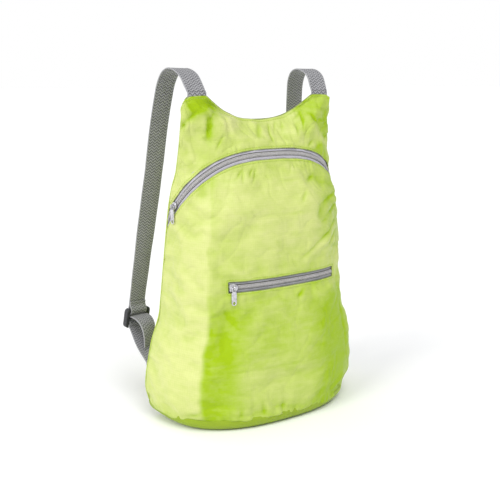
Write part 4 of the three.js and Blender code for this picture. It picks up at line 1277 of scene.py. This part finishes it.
def base_panel():
    """A flat bottom that turns up into a low, puckered rim."""
    lines = cloth_lines(BASE_STEP)
    shares = np.linspace(1, -1, 92)[1:-1]
    turns = np.linspace(0, np.pi / 2, 9)
    rings = []
    for turn in turns:
        ring = base_outline(BASE_ROUND, BASE_ROUND * (1 - np.sin(turn)), lines, shares)
        ring[:, 2] = BASE_ROUND * (1 - np.cos(turn))
        rings.append(ring)
    rings.append(base_outline(BASE_SEAM - 0.7, 0.15, lines, shares))
    rings.append(base_outline(BASE_SEAM, 0.7, lines, shares))
    rings = np.array(rings)
    steps = np.linalg.norm(np.diff(rings[-3], axis=0, append=rings[-3][:1]), axis=1)
    along = np.concatenate([[0], np.cumsum(steps)[:-1]])
    count = len(along)
    height = rings[..., 2]
    out = unit(rings - rings.mean(1, keepdims=True) * [1, 1, 0])
    out[..., 2] = 0
    fade = np.minimum(along, along[::-1]) / 30
    below_seam = np.maximum(BASE_SEAM - height, 0)
    gathers = np.array([pucker(along, row, 0.85, 7, 71) for row in below_seam]) * np.clip(fade, 0, 1)
    rings = rings + out * np.minimum(gathers, RIM_OUT)[..., None]
    middle = rings[0].mean(0)
    flat = len(FLAT_RINGS)
    outer = np.concatenate([[middle + (rings[0] - middle) * share for share in FLAT_RINGS], rings])
    outer[:flat, :, 2] = 0
    outer = corner_tucked(outer)
    ways = grid_normals(np.concatenate([outer, outer[:, :1]], axis=1))[:, :-1]
    from_inside = outer - outer.mean((0, 1)) - [0, 0, 30]
    ways = np.where(np.sum(ways * from_inside, -1)[..., None] < 0, -ways, ways)
    inner = outer - ways * FABRIC
    inner[:flat, :, 2] = FABRIC
    ring_count = len(outer)
    points = np.concatenate([outer.reshape(-1, 3), inner[::-1].reshape(-1, 3)])
    at = np.arange(2 * ring_count * count).reshape(2 * ring_count, count)
    nxt = np.roll(at, -1, axis=1)
    quads = np.stack([at[:-1], nxt[:-1], nxt[1:], at[1:]], -1).reshape(-1, 4)
    faces = [*quads.tolist(), at[0][::-1].tolist(), at[-1].tolist()]
    ring_at = np.arange(ring_count)
    up = np.where(ring_at < flat, 0, height[np.clip(ring_at - flat, 0, len(height) - 1), 0])
    spread = np.broadcast_to(along, (ring_count, count))
    cloth = np.stack([spread, np.broadcast_to(up[:, None], spread.shape), 0 * spread], -1)
    edge = np.broadcast_to((BASE_SEAM - up + 3)[:, None], spread.shape)
    fields = {
        "cloth": np.concatenate([cloth.reshape(-1, 3), cloth[::-1].reshape(-1, 3)]),
        "edge": np.concatenate([edge.ravel(), edge[::-1].ravel()]),
    }
    piece = make_piece("base_cloth", points, faces, BASE, "base_fabric", ["base_panel"], fields)
    fixed = bmesh.new()
    fixed.from_mesh(piece.data)
    bmesh.ops.recalc_face_normals(fixed, faces=fixed.faces[:])
    fixed.to_mesh(piece.data)
    fixed.free()


# Stitches


def stitch_run(panel, lines, heights):
    """Places and directions of the stitches along a line of a panel."""
    found = [panel.at(line, height) for line, height in zip(lines, heights)]
    places = np.array([place for place, _ in found])
    ways = np.array([way for _, way in found])
    length = lengths_along(places)
    count = int(length[-1] / STITCH_PITCH)
    at = (np.arange(count) + 0.5) * length[-1] / count

    def along(values, where):
        return np.stack([np.interp(where, length, values[:, n]) for n in range(3)], -1)

    forward = unit(along(places, at + 1) - along(places, at - 1))
    out = unit(along(ways, at))
    side = unit(np.cross(out, forward))
    axes = np.stack([forward, side, np.cross(forward, side)], 1)
    return along(places, at) + out * STITCH_RISE, axes


def stitches(name, runs, material, slot, seed):
    """All the stitches of some runs as one piece, each turned a little at random."""
    draw = np.random.RandomState(seed)
    places = np.concatenate([places for places, _ in runs])
    axes = np.concatenate([axes for _, axes in runs])
    tilt = draw.normal(0, 0.05, len(places))[:, None]
    axes[:, 0] = unit(axes[:, 0] + axes[:, 1] * tilt)
    axes[:, 1] = np.cross(axes[:, 2], axes[:, 0])
    points, faces = copies(*capsule(STITCH_LENGTH, STITCH_RADIUS), places, axes)
    make_piece(name, points, faces, material, slot)


def sew_panels(front, yoke):
    """Topstitching beside both zips and under the yoke's top edge."""
    ends = 1 - 3.5 / HALF_WRAP
    u = np.linspace(-ends, ends, 260)
    low = beside_zip(arch_height, u, -ZIP_SHOWING / 2 - STITCH_IN)
    high = beside_zip(arch_height, u, ZIP_SHOWING / 2 + STITCH_IN)
    runs = [stitch_run(front, u, low), stitch_run(yoke, u, high)]
    top = np.interp(u, yoke.lines, yoke.top)
    slope = np.interp(u, yoke.lines, edge_slope(yoke.lines, yoke.top))
    inner = np.abs(u) < 0.93
    runs.append(stitch_run(yoke, u[inner], (top - STITCH_IN / slope)[inner]))
    half_length, half_height = POCKET_LENGTH / 2 + STITCH_IN, ZIP_SHOWING / 2 + STITCH_IN
    corner = 3.0
    turn = np.linspace(0, np.pi / 2, 7)
    loop = []
    for sx, sz, start in ((1, 1, 0), (-1, 1, 1), (-1, -1, 2), (1, -1, 3)):
        angle = turn + start * np.pi / 2
        loop += list(
            zip(
                sx * (half_length - corner) + corner * np.cos(angle),
                sz * (half_height - corner) + corner * np.sin(angle),
            )
        )
    loop = np.array([*loop, loop[0]])
    fine = np.linspace(0, len(loop) - 1, 240)
    x = np.interp(fine, np.arange(len(loop)), loop[:, 0])
    z = np.interp(fine, np.arange(len(loop)), loop[:, 1])
    runs.append(stitch_run(front, x / HALF_WRAP, z + POCKET_HEIGHT))
    stitches("panel_stitches", runs, LIME_THREAD, "shell_fabric", seed=81)


# Zips


def zip_line(middle, from_u, to_u, step):
    """Even places along a zip's middle line, with its direction, the way across and the way out."""
    u = np.linspace(from_u, to_u, 900)
    line = shell(u, middle(u))
    length = lengths_along(line)
    count = int(length[-1] / step)
    at = np.interp((np.arange(count) + 0.5) * length[-1] / count, length, u)
    low, high = beside(at)
    forward = unit(shell(high, middle(high)) - shell(low, middle(low)))
    out = shell_normal(at, middle(at))
    across = unit(np.cross(out, forward))
    return shell(at, middle(at)), forward, across, np.cross(forward, across)


def zip_strip(name, middle, lines, edges, depth, thick, material, slot, node, shape):
    """One strip of a zip: edges are its distances from the middle line, shape its relief."""
    distances = np.linspace(*edges, 17)
    grid = np.array([beside_zip(middle, lines, distance) for distance in distances]).T
    u = lines[:, None] + 0 * grid
    relief = shape(distances)[None, :] + 0 * grid
    outer = shell(u, grid, depth - relief)
    inner = shell(u, grid, depth + thick)
    length = lengths_along(outer[:, 8])
    cloth = np.stack([length[:, None] + 0 * grid, distances[None, :] + 0 * grid, 0 * grid], -1)
    edge = 10 + 0 * grid
    outer, inner = corner_tucked(outer), corner_tucked(inner)
    sheet_piece(name, outer, inner, cloth, edge, material, slot, [node])


def coil_teeth(middle, from_u, to_u):
    """Interlocking bars from both sides of a nylon coil, with rounded heads."""
    places, forward, across, out = zip_line(middle, from_u, to_u, TOOTH_PITCH / 2)
    sides = np.where(np.arange(len(places)) % 2 == 0, 1.0, -1.0)[:, None]
    stations = [
        (2.45, 0.34, -1.5),
        (2.3, 0.42, -0.9),
        (0.9, 0.42, -0.62),
        (-0.35, 0.5, -0.62),
        (-0.75, 0.3, -0.9),
    ]
    ring = np.arange(6) * np.pi / 3
    template = np.concatenate(
        [
            np.stack([wide * np.cos(ring), np.full(6, reach), height - 0.35 + 0.42 * np.sin(ring)], -1)
            for reach, wide, height in stations
        ]
    )
    axes = np.stack([forward * sides, across * sides, out], 1)
    return copies(template, ring_faces(len(stations), 6), places, axes)


TAPE_PUFF = 0.55  # how far the tape rises between the coil and the cloth's edge


def dress_zip(name, middle, lines, coil_range, tape, slot):
    inner, outer = COIL_WIDTH / 2 + SEAM_GAP, ZIP_SHOWING / 2 + TAPE_MARGIN

    def ribbed(distances):
        shown = np.clip((np.abs(distances) - inner) / (ZIP_SHOWING / 2 - 0.6 - inner), 0, 1)
        return 0.12 * np.cos(np.abs(distances) * 2 * np.pi / 1.8) + TAPE_PUFF * np.sin(np.pi * shown)

    for part, edges in (("upper", (inner, outer)), ("lower", (-outer, -inner))):
        node = f"{name}_tape_{part}"
        zip_strip(f"{node}_cloth", middle, lines, edges, TAPE_INSET, TAPE_THICK, tape, slot, node, ribbed)
    coil_lines = np.linspace(*coil_range, len(lines))

    def rounded(distances):
        return 0.35 * np.cos(np.clip(np.abs(distances) / 2.4, 0, 1) * np.pi / 2)

    edges = (-COIL_WIDTH / 2 + 0.3, COIL_WIDTH / 2 - 0.3)
    depth = COIL_SINK + 1.15
    node = f"{name}_coil"
    zip_strip(f"{node}_core", middle, coil_lines, edges, depth, 0.9, COIL, "zip_coil", node, rounded)
    points, faces = coil_teeth(middle, *coil_range)
    make_piece(f"{node}_teeth", corner_tucked(points), faces, COIL, "zip_coil")


def dress_zips():
    lines = cloth_lines(ZIP_STEP)
    dress_zip("main_zip", arch_height, lines, (-1, 1), MAIN_TAPE, "main_zip_tape")
    end = POCKET_LENGTH / 2 / HALF_WRAP
    margin = TAPE_MARGIN * 0.8 / HALF_WRAP
    pocket_lines = np.linspace(-end - margin, end + margin, 90)
    coil_end = end - SEAM_GAP / HALF_WRAP
    coil_range = (-coil_end, coil_end)
    dress_zip("pocket_zip", pocket_height, pocket_lines, coil_range, POCKET_TAPE, "pocket_zip_tape")


PLATE_TOP = SLIDER_CLEARANCE - COIL_SINK + SLIDER_THICK
BAIL_INNER = np.hypot(PULL_BAR, PULL_THICK) / 2 + PULL_CLEARANCE
BAIL_OUTER = BAIL_INNER + BAIL_WALL
HINGE_HEIGHT = PLATE_TOP + BAIL_INNER


def arc(centre_x, centre_y, radius_x, radius_y, start, end, count):
    turn = np.radians(np.linspace(start, end, count))
    return [(centre_x + radius_x * np.cos(t), centre_y + radius_y * np.sin(t)) for t in turn]


def slider_mesh(zip_angle):
    """Slider: a shield-shaped plate along the zip, and a bail that arches over the pull's bar."""
    long, wide, bend = SLIDER_LENGTH / 2, SLIDER_WIDTH / 2, 1.4
    shield = [
        *arc(-long + bend, -wide + bend, bend, bend, 180, 270, 5),
        *arc(long * 0.2, 0, long * 0.8, wide, -90, 90, 15),
        *arc(-long + bend, wide - bend, bend, bend, 90, 180, 5),
    ]
    plate = solid_plate(shield, [], PLATE_TOP - SLIDER_THICK, PLATE_TOP, 0.45)
    spine = [(x * 0.62 + 0.2, y * 0.42) for x, y in shield]
    ridge = solid_plate(spine, [], PLATE_TOP - 0.5, PLATE_TOP + 0.45, 0.3)
    for mesh in (plate, ridge):
        mesh.transform(Matrix.Rotation(zip_angle, 4, "Z"))
    root = -BAIL_INNER - SLIDER_THICK / 2
    arch = [(BAIL_OUTER, root), *arc(0, 0, BAIL_OUTER, BAIL_OUTER, 0, 180, 17), (-BAIL_OUTER, root)]
    hole = arc(0, 0, BAIL_INNER, BAIL_INNER, 0, 360, 21)[:-1]
    bail = solid_plate(arch, [hole], -BAIL_THICK / 2, BAIL_THICK / 2, 0.28)
    upright = Matrix.Rotation(np.pi / 2, 4, "Z") @ Matrix.Rotation(np.pi / 2, 4, "X")
    bail.transform(Matrix.Translation((0, 0, HINGE_HEIGHT)) @ upright)
    return [plate, ridge, bail]


def pull_mesh():
    """Pull: a bar that turns under the bail, an eye, and a rounded tab with a slot."""
    half, low, top = PULL_WIDTH / 2, -PULL_LENGTH, PULL_BAR / 2
    eye_half = BAIL_THICK / 2 + PULL_CLEARANCE
    eye_low = -BAIL_OUTER - PULL_EYE_SPARE
    shoulder = eye_low - PULL_WALL
    neck = eye_half + PULL_WALL
    tab = [
        (neck - 0.5, top),
        (-neck + 0.5, top),
        (-neck, top - 0.5),
        (-neck, shoulder),
        (-half, shoulder - PULL_WALL),
        *arc(0, low + half, half, half, 180, 360, 17),
        (half, shoulder - PULL_WALL),
        (neck, shoulder),
        (neck, top - 0.5),
    ]
    eye = [(-eye_half, -top), (eye_half, -top), (eye_half, eye_low), (-eye_half, eye_low)]
    slot = arc(0, low + half, half * 0.5, half * 0.62, 0, 360, 17)[:-1]
    return solid_plate(tab, [eye, slot], -PULL_THICK / 2, PULL_THICK / 2, 0.22)


def dress_slider(name, body, middle, u):
    z = middle(np.float64(u))
    out = shell_normal(u, z)
    hinge = unit(np.cross([0, 0, 1], out))
    up = np.cross(out, hinge)
    low, high = beside(u)
    along = shell(high, middle(high)) - shell(low, middle(low))
    zip_angle = np.arctan2(along @ up, along @ hinge)
    origin = corner_tucked(shell(u, z))
    metal = (METAL, "zip_metal")
    meshes = slider_mesh(zip_angle)
    axes = (hinge, up, out)
    hard_piece(f"{name}_slider_body", meshes, origin, axes, *metal, "bag", f"{name}_slider")
    upright = np.array([0, 0, 1])
    axes = (hinge, upright, np.cross(hinge, upright))
    origin = origin + out * HINGE_HEIGHT
    hard_piece(f"{name}_pull_tab", [pull_mesh()], origin, axes, *metal, body, f"{name}_pull")


def dress_sliders():
    dress_slider("main_zip", "main_pull", arch_height, -1 + SLIDER_FROM_SEAM / HALF_WRAP)
    end = POCKET_LENGTH / 2 / HALF_WRAP
    from_end = (SLIDER_FROM_END + SLIDER_LENGTH / 2) / HALF_WRAP
    dress_slider("pocket_zip", "pocket_pull", pocket_height, -end + from_end)


# Straps

LOOP_RADIUS = np.hypot(BUCKLE_BAR, BUCKLE_THICK) / 2 + STRAP_CLEARANCE + WEBBING_THICK / 2
BAR_SPACING = 2 * LOOP_RADIUS + WEBBING_THICK + 2 * STRAP_CLEARANCE


def smooth_run(points, step):
    """Even places along a smooth curve through points."""
    points = np.array(points, float)
    knots = np.vstack([2 * points[0] - points[1], points, 2 * points[-1] - points[-2]])
    dense = []
    for k in range(len(points) - 1):
        a, b, c, d = knots[k : k + 4]
        before, here, after = (np.linalg.norm(q - p) ** 0.5 for p, q in ((a, b), (b, c), (c, d)))
        leave = ((b - a) / before - (c - a) / (before + here) + (c - b) / here) * here
        reach = ((c - b) / here - (d - b) / (here + after) + (d - c) / after) * here
        t = np.linspace(0, 1, 40, endpoint=k == len(points) - 2)[:, None]
        curve = b * (1 + 2 * t) * (1 - t) ** 2 + c * t * t * (3 - 2 * t)
        dense.append(curve + leave * t * (1 - t) ** 2 - reach * t * t * (1 - t))
    dense = np.concatenate(dense)
    length = lengths_along(dense)
    at = np.linspace(0, length[-1], max(int(np.ceil(length[-1] / step)), 2) + 1)
    return np.stack([np.interp(at, length, dense[:, n]) for n in range(3)], -1)


# Webbing in section: place across as a share of its half width, and half thickness there.
WEBBING_EDGE = [(0.35, 0.92), (0.7, 0.9), (0.9, 0.85), (0.93, 1.0), (0.985, 0.85), (1, 0.3)]
WEBBING_PROFILE = [(-at, layer) for at, layer in WEBBING_EDGE[::-1]] + [(0, 0.92)] + WEBBING_EDGE
STITCH_LAYER = 0.8  # from the middle of the webbing to its stitches
ROW_REACH = 12  # half the width of a row of stitches across the webbing
ROW_INSET = 1.2
ROW_PITCH = 3.0


class Strap:
    """Flat webbing along places, with the direction of its width at each."""

    def __init__(self, places, wide):
        self.places = np.array(places, float)
        wide = np.array(wide, float)
        ahead = np.concatenate([self.places[1:], self.places[-1:]])
        behind = np.concatenate([self.places[:1], self.places[:-1]])
        run = unit(ahead - behind)
        self.side = unit(wide - run * np.sum(wide * run, -1, keepdims=True))
        self.face = np.cross(run, self.side)
        self.run = run
        self.length = lengths_along(self.places)

    def dress(self, name, node, slack, seed):
        """slack is how freely the webbing curls at each place, from 0 to 1."""
        half, thick = WEBBING_WIDTH / 2, WEBBING_THICK / 2
        profile = np.array(WEBBING_PROFILE)
        across, layer = profile[:, 0] * half, profile[:, 1] * thick
        wave = plane_waves(self.length, 0 * self.length, 90, seed, 5)
        curl = (0.5 + 0.5 * wave) * slack
        ripple = 0.25 * plane_waves(self.length, 0 * self.length, 40, seed + 1, 5) * slack
        lift = curl[:, None] * (1 - (across / half) ** 2)[None, :]
        lift = lift + ripple[:, None] * (across / half)[None, :]
        spread = self.places[:, None] + self.side[:, None] * across[None, :, None]
        face = self.face[:, None]
        top = spread + face * (lift + layer)[..., None]
        low = spread + face * (lift - layer)[..., None]
        rings = np.concatenate([top, low[:, ::-1]], axis=1)
        count = rings.shape[1]
        at = np.arange(rings.shape[0] * count).reshape(rings.shape[0], count)
        nxt = np.roll(at, -1, axis=1)
        quads = np.stack([at[:-1], at[1:], nxt[1:], nxt[:-1]], -1).reshape(-1, 4)
        faces = [*quads.tolist(), at[0].tolist(), at[-1][::-1].tolist()]
        both = np.concatenate([across, across[::-1]])
        cloth = np.zeros((*rings.shape[:2], 3))
        cloth[..., 0] = both
        cloth[..., 1] = self.length[:, None]
        fields = {"cloth": cloth.reshape(-1, 3)}
        points = rings.reshape(-1, 3)
        make_piece(name, points, faces, WEBBING, "webbing", [node], fields)

    def stitch_row(self, length, layer):
        """Stitches across the webbing at a length along it."""
        spreads = np.arange(-ROW_REACH + ROW_INSET, ROW_REACH, ROW_PITCH)
        places = np.full(len(spreads), float(length))
        k = np.clip(np.searchsorted(self.length, places), 1, len(self.length) - 1)
        t = ((places - self.length[k - 1]) / (self.length[k] - self.length[k - 1]))[:, None]
        at = self.places[k - 1] * (1 - t) + self.places[k] * t
        side, face, run = self.side[k], self.face[k], self.run[k]
        where = at + side * spreads[:, None] + face * layer
        return where, np.stack([side, run, np.cross(side, run)], 1)


def buckle_mesh():
    """Ladder-lock buckle. Bars lie across X, the top one at the origin, and it hangs along -Y."""
    inner = WEBBING_WIDTH / 2 + BUCKLE_SPARE
    outer = inner + BUCKLE_SIDE
    top = BUCKLE_BAR / 2 + BUCKLE_RIM
    low = -2 * BAR_SPACING - top
    bend = BUCKLE_SIDE * 0.9
    meshes = []
    for side in (-1, 1):
        rail = [
            (inner, top),
            (inner, low),
            *arc(outer - bend, low + bend, bend, bend, -90, 0, 7),
            *arc(outer - bend, top - bend, bend, bend, 0, 90, 7),
        ]
        rail = [(side * x, y) for x, y in rail]
        meshes.append(solid_plate(rail, [], -BUCKLE_RAIL_THICK / 2, BUCKLE_RAIL_THICK / 2, 1.1))
    reach = inner + BUCKLE_SIDE / 2
    for bar in range(3):
        middle = -bar * BAR_SPACING
        half = BUCKLE_BAR / 2
        low_edge, high_edge = middle - half, middle + half
        outline = [(-reach, low_edge), (reach, low_edge), (reach, high_edge), (-reach, high_edge)]
        meshes.append(solid_plate(outline, [], -BUCKLE_THICK / 2, BUCKLE_THICK / 2, 0.6))
    return meshes


def dress_strap(side, name):
    """One shoulder strap with its buckle and lower strap. side is -1 on the left, 1 on the right."""

    def facing(degrees):
        turn = np.radians(degrees)
        return np.array([np.cos(turn), -side * np.sin(turn), 0])

    def seam_y(z):
        return back_at(z) + BACK_GAP - STRAP_CLEARANCE - WEBBING_THICK / 2

    middle = side * STRAP_SPACING / 2
    top = float(top_edge(middle))
    tucked = [(middle, seam_y(z), z) for z in np.linspace(top - STRAP_TUCK, top, 5)]
    risen = (middle, seam_y(top), top + 2 * WEBBING_THICK)
    arch = [
        (
            middle + side * row["splay"] * BAG_HEIGHT,
            row[name] * BAG_HEIGHT,
            row["up"] * BAG_HEIGHT,
        )
        for row in STRAP_ROUTE
    ]
    run = np.array([*tucked, *smooth_run([risen, *arch], 2.5)])
    end = run[-1]
    turn_at = STRAP_TURN * (1 - ease(run[:, 2], end[2], STRAP_TURN_HEIGHT))
    down = unit(end - run[-2])
    across = facing(STRAP_TURN)
    across = unit(across - down * (across @ down))
    behind = np.cross(across, down)
    bar = end + down * HEM_LENGTH - behind * LOOP_RADIUS

    def from_bar(centre, back, low):
        return centre + behind * back + down * low

    def around(centre, start, stop):
        turns = np.linspace(start, stop, max(int(abs(stop - start) / 0.2), 2) + 1)
        return [from_bar(centre, LOOP_RADIUS * np.cos(t), LOOP_RADIUS * np.sin(t)) for t in turns]

    sewn = LOOP_RADIUS - WEBBING_THICK - STRAP_CLEARANCE
    hem = [
        from_bar(bar, -LOOP_RADIUS, -BUCKLE_BAR),
        from_bar(bar, sewn, -HEM_LENGTH * 0.7),
        from_bar(bar, sewn, -HEM_LENGTH),
    ]
    hem = list(smooth_run([around(bar, 0, np.pi)[-1], *hem], 1.5)[1:])
    loop = [*around(bar, 0, np.pi), *hem]
    places = [*run, *loop]
    wide = [*[facing(turn) for turn in turn_at], *[across] * len(loop)]
    upper = Strap(places, wide)
    slack = ease(run[:, 2], top + 4, top + 12)
    slack = np.where(np.arange(len(run)) > len(run) // 2, 1, slack) * ease(run[:, 2], end[2], end[2] + 25)
    curls = [*slack, *[0] * len(loop)]
    upper.dress(f"shoulder_strap_{name}_webbing", f"shoulder_strap_{name}", curls, seed=91)

    axes = (across, -down, np.cross(across, -down))
    node = f"adjuster_buckle_{name}"
    hard_piece(f"buckle_{name}_body", buckle_mesh(), bar, axes, BUCKLE, "buckle_plastic", "bag", node)

    second = from_bar(bar, 0, BAR_SPACING)
    third = from_bar(bar, 0, 2 * BAR_SPACING)
    cross = np.arcsin(2 * LOOP_RADIUS / BAR_SPACING)
    threaded = [*around(third, np.pi, np.pi + cross), *around(second, cross, -np.radians(TAIL_LEAVES))]

    def seam(z):
        half_back = abs(shell(np.float64(side), z)[0])
        x = side * (half_back - WEBBING_WIDTH / 2 - ANCHOR_INSET)
        inner = (abs(x) - WEBBING_WIDTH / 2) / half_back
        y = back_point(np.float64(side * inner), z)[1] + STRAP_CLEARANCE + WEBBING_THICK / 2
        return np.array([x, y, z])

    rise = from_bar(third, -LOOP_RADIUS, BUCKLE_BAR)
    sewn_end = [seam(z) for z in np.linspace(ANCHOR_HEIGHT, ANCHOR_HEIGHT + ANCHOR_SEAM, 6)]
    lifted = sewn_end[-1] + [0, WEBBING_THICK, ANCHOR_LIFT]
    sag = (lifted + rise) / 2 + [0, LOWER_SAG, -LOWER_SAG]
    path = smooth_run([lifted, sag, rise], 2.5)
    tail_top = threaded[-1]
    tail = smooth_run([tail_top + [0, -row["forward"], -row["down"]] for row in TAIL_ROUTE], 2)[1:]
    places = [*sewn_end, *path, *threaded, *tail]
    wide = [
        *[facing(0)] * len(sewn_end),
        *[facing(STRAP_TURN * k / (len(path) - 1)) for k in range(len(path))],
        *[across] * len(threaded),
        *[facing(STRAP_TURN + (TAIL_TURN - STRAP_TURN) * k / (len(tail) - 1)) for k in range(len(tail))],
    ]
    lower = Strap(places, wide)
    curls = [0.0] * (len(sewn_end) + len(path) + len(threaded)) + list(np.linspace(0, 1, len(tail)))
    lower.dress(f"lower_strap_{name}_webbing", f"lower_strap_{name}", curls, seed=93)

    above = upper.length[len(tucked)]
    hem_at = upper.length[len(run) - 1]
    runs = [
        upper.stitch_row(above + 1.2, side_of(upper, len(tucked), -1)),
        upper.stitch_row(hem_at + 2.5, STITCH_LAYER),
        upper.stitch_row(hem_at + 5.5, STITCH_LAYER),
        lower.stitch_row(2.5, side_of(lower, 0, 1)),
        lower.stitch_row(ANCHOR_SEAM - 2, side_of(lower, 0, 1)),
    ]
    stitches(f"strap_stitches_{name}", runs, GREY_THREAD, "webbing", seed=95)


def side_of(strap, k, way):
    """Layer of a strap's face that looks along way times +Y."""
    return STITCH_LAYER * np.sign(strap.face[k][1] * way)


# Floor, light and camera


def make_stage():
    floor = bpy.data.meshes.new("floor")
    reach = 30.0
    corners = [(-reach, -reach, 0), (reach, -reach, 0), (reach, reach, 0), (-reach, reach, 0)]
    floor.from_pydata(corners, [], [(0, 1, 2, 3)])
    white = Finish("floor_white", Roughness=0.9)
    mottle = white.noise(white.place(), 0.002, 2.0)
    white.shade(Base_Color=white.mixed(mottle, (0.97, 0.97, 0.98, 1), (0.98, 0.98, 0.98, 1)))
    floor.materials.append(white.material)
    add_object("floor", floor)


def make_light(name, towards, spread, strength, colour):
    """A soft lamp as wide as the sky seen from the bag: towards is the way to it."""
    data = bpy.data.lights.new(name, "SUN")
    data.angle = np.radians(spread)
    data.energy = strength
    data.color = colour
    lamp = add_object(name, data)
    lamp.rotation_euler = Vector(towards).to_track_quat("Z", "Y").to_euler()


def make_world():
    world = bpy.data.worlds.new("studio")
    world.use_nodes = True
    bpy.context.scene.world = world
    tree = world.node_tree
    plain = tree.nodes["Background"]
    plain.inputs["Color"].default_value = (0.97, 0.98, 1.0, 1.0)
    plain.inputs["Strength"].default_value = 0.55
    seen = tree.nodes.new("ShaderNodeBackground")
    seen.inputs["Color"].default_value = (1.0, 1.0, 1.0, 1.0)
    rays = tree.nodes.new("ShaderNodeLightPath")
    mix = tree.nodes.new("ShaderNodeMixShader")
    tree.links.new(rays.outputs["Is Camera Ray"], mix.inputs[0])
    tree.links.new(plain.outputs[0], mix.inputs[1])
    tree.links.new(seen.outputs[0], mix.inputs[2])
    tree.links.new(mix.outputs[0], tree.nodes["World Output"].inputs["Surface"])


CAMERA_AT = (-0.5661, -0.8099, 0.4122)
CAMERA_FORWARD = (0.5470, 0.8115, -0.2055)
CAMERA_LENS = 58.85


def make_camera():
    data = bpy.data.cameras.new("camera")
    data.lens = CAMERA_LENS
    data.sensor_width = 36
    camera = add_object("camera", data)
    forward = Vector(CAMERA_FORWARD).normalized()
    right = forward.cross(Vector((0, 0, 1))).normalized()
    up = right.cross(forward)
    turn = Matrix((right, up, -forward)).transposed().to_4x4()
    camera.matrix_world = Matrix.Translation(CAMERA_AT) @ turn
    bpy.context.scene.camera = camera


make_camera()
make_world()
make_light("key", (-0.85, -0.2, 0.6), 24, 1.25, (1.0, 0.985, 0.95))
make_light("rim", (-0.55, 0.8, 0.3), 60, 0.5, (1.0, 1.0, 1.0))
make_light("top", (-0.1, -0.5, 0.85), 36, 1.3, (1.0, 1.0, 1.0))
make_stage()
bpy.context.scene.view_settings.view_transform = "Standard"

moved = settle_cloth()
front = front_panel(moved)
yoke = yoke_panel(moved)
back_panel()
base_panel()
sew_panels(front, yoke)
dress_zips()
dress_sliders()
dress_strap(-1, "left")
dress_strap(1, "right")
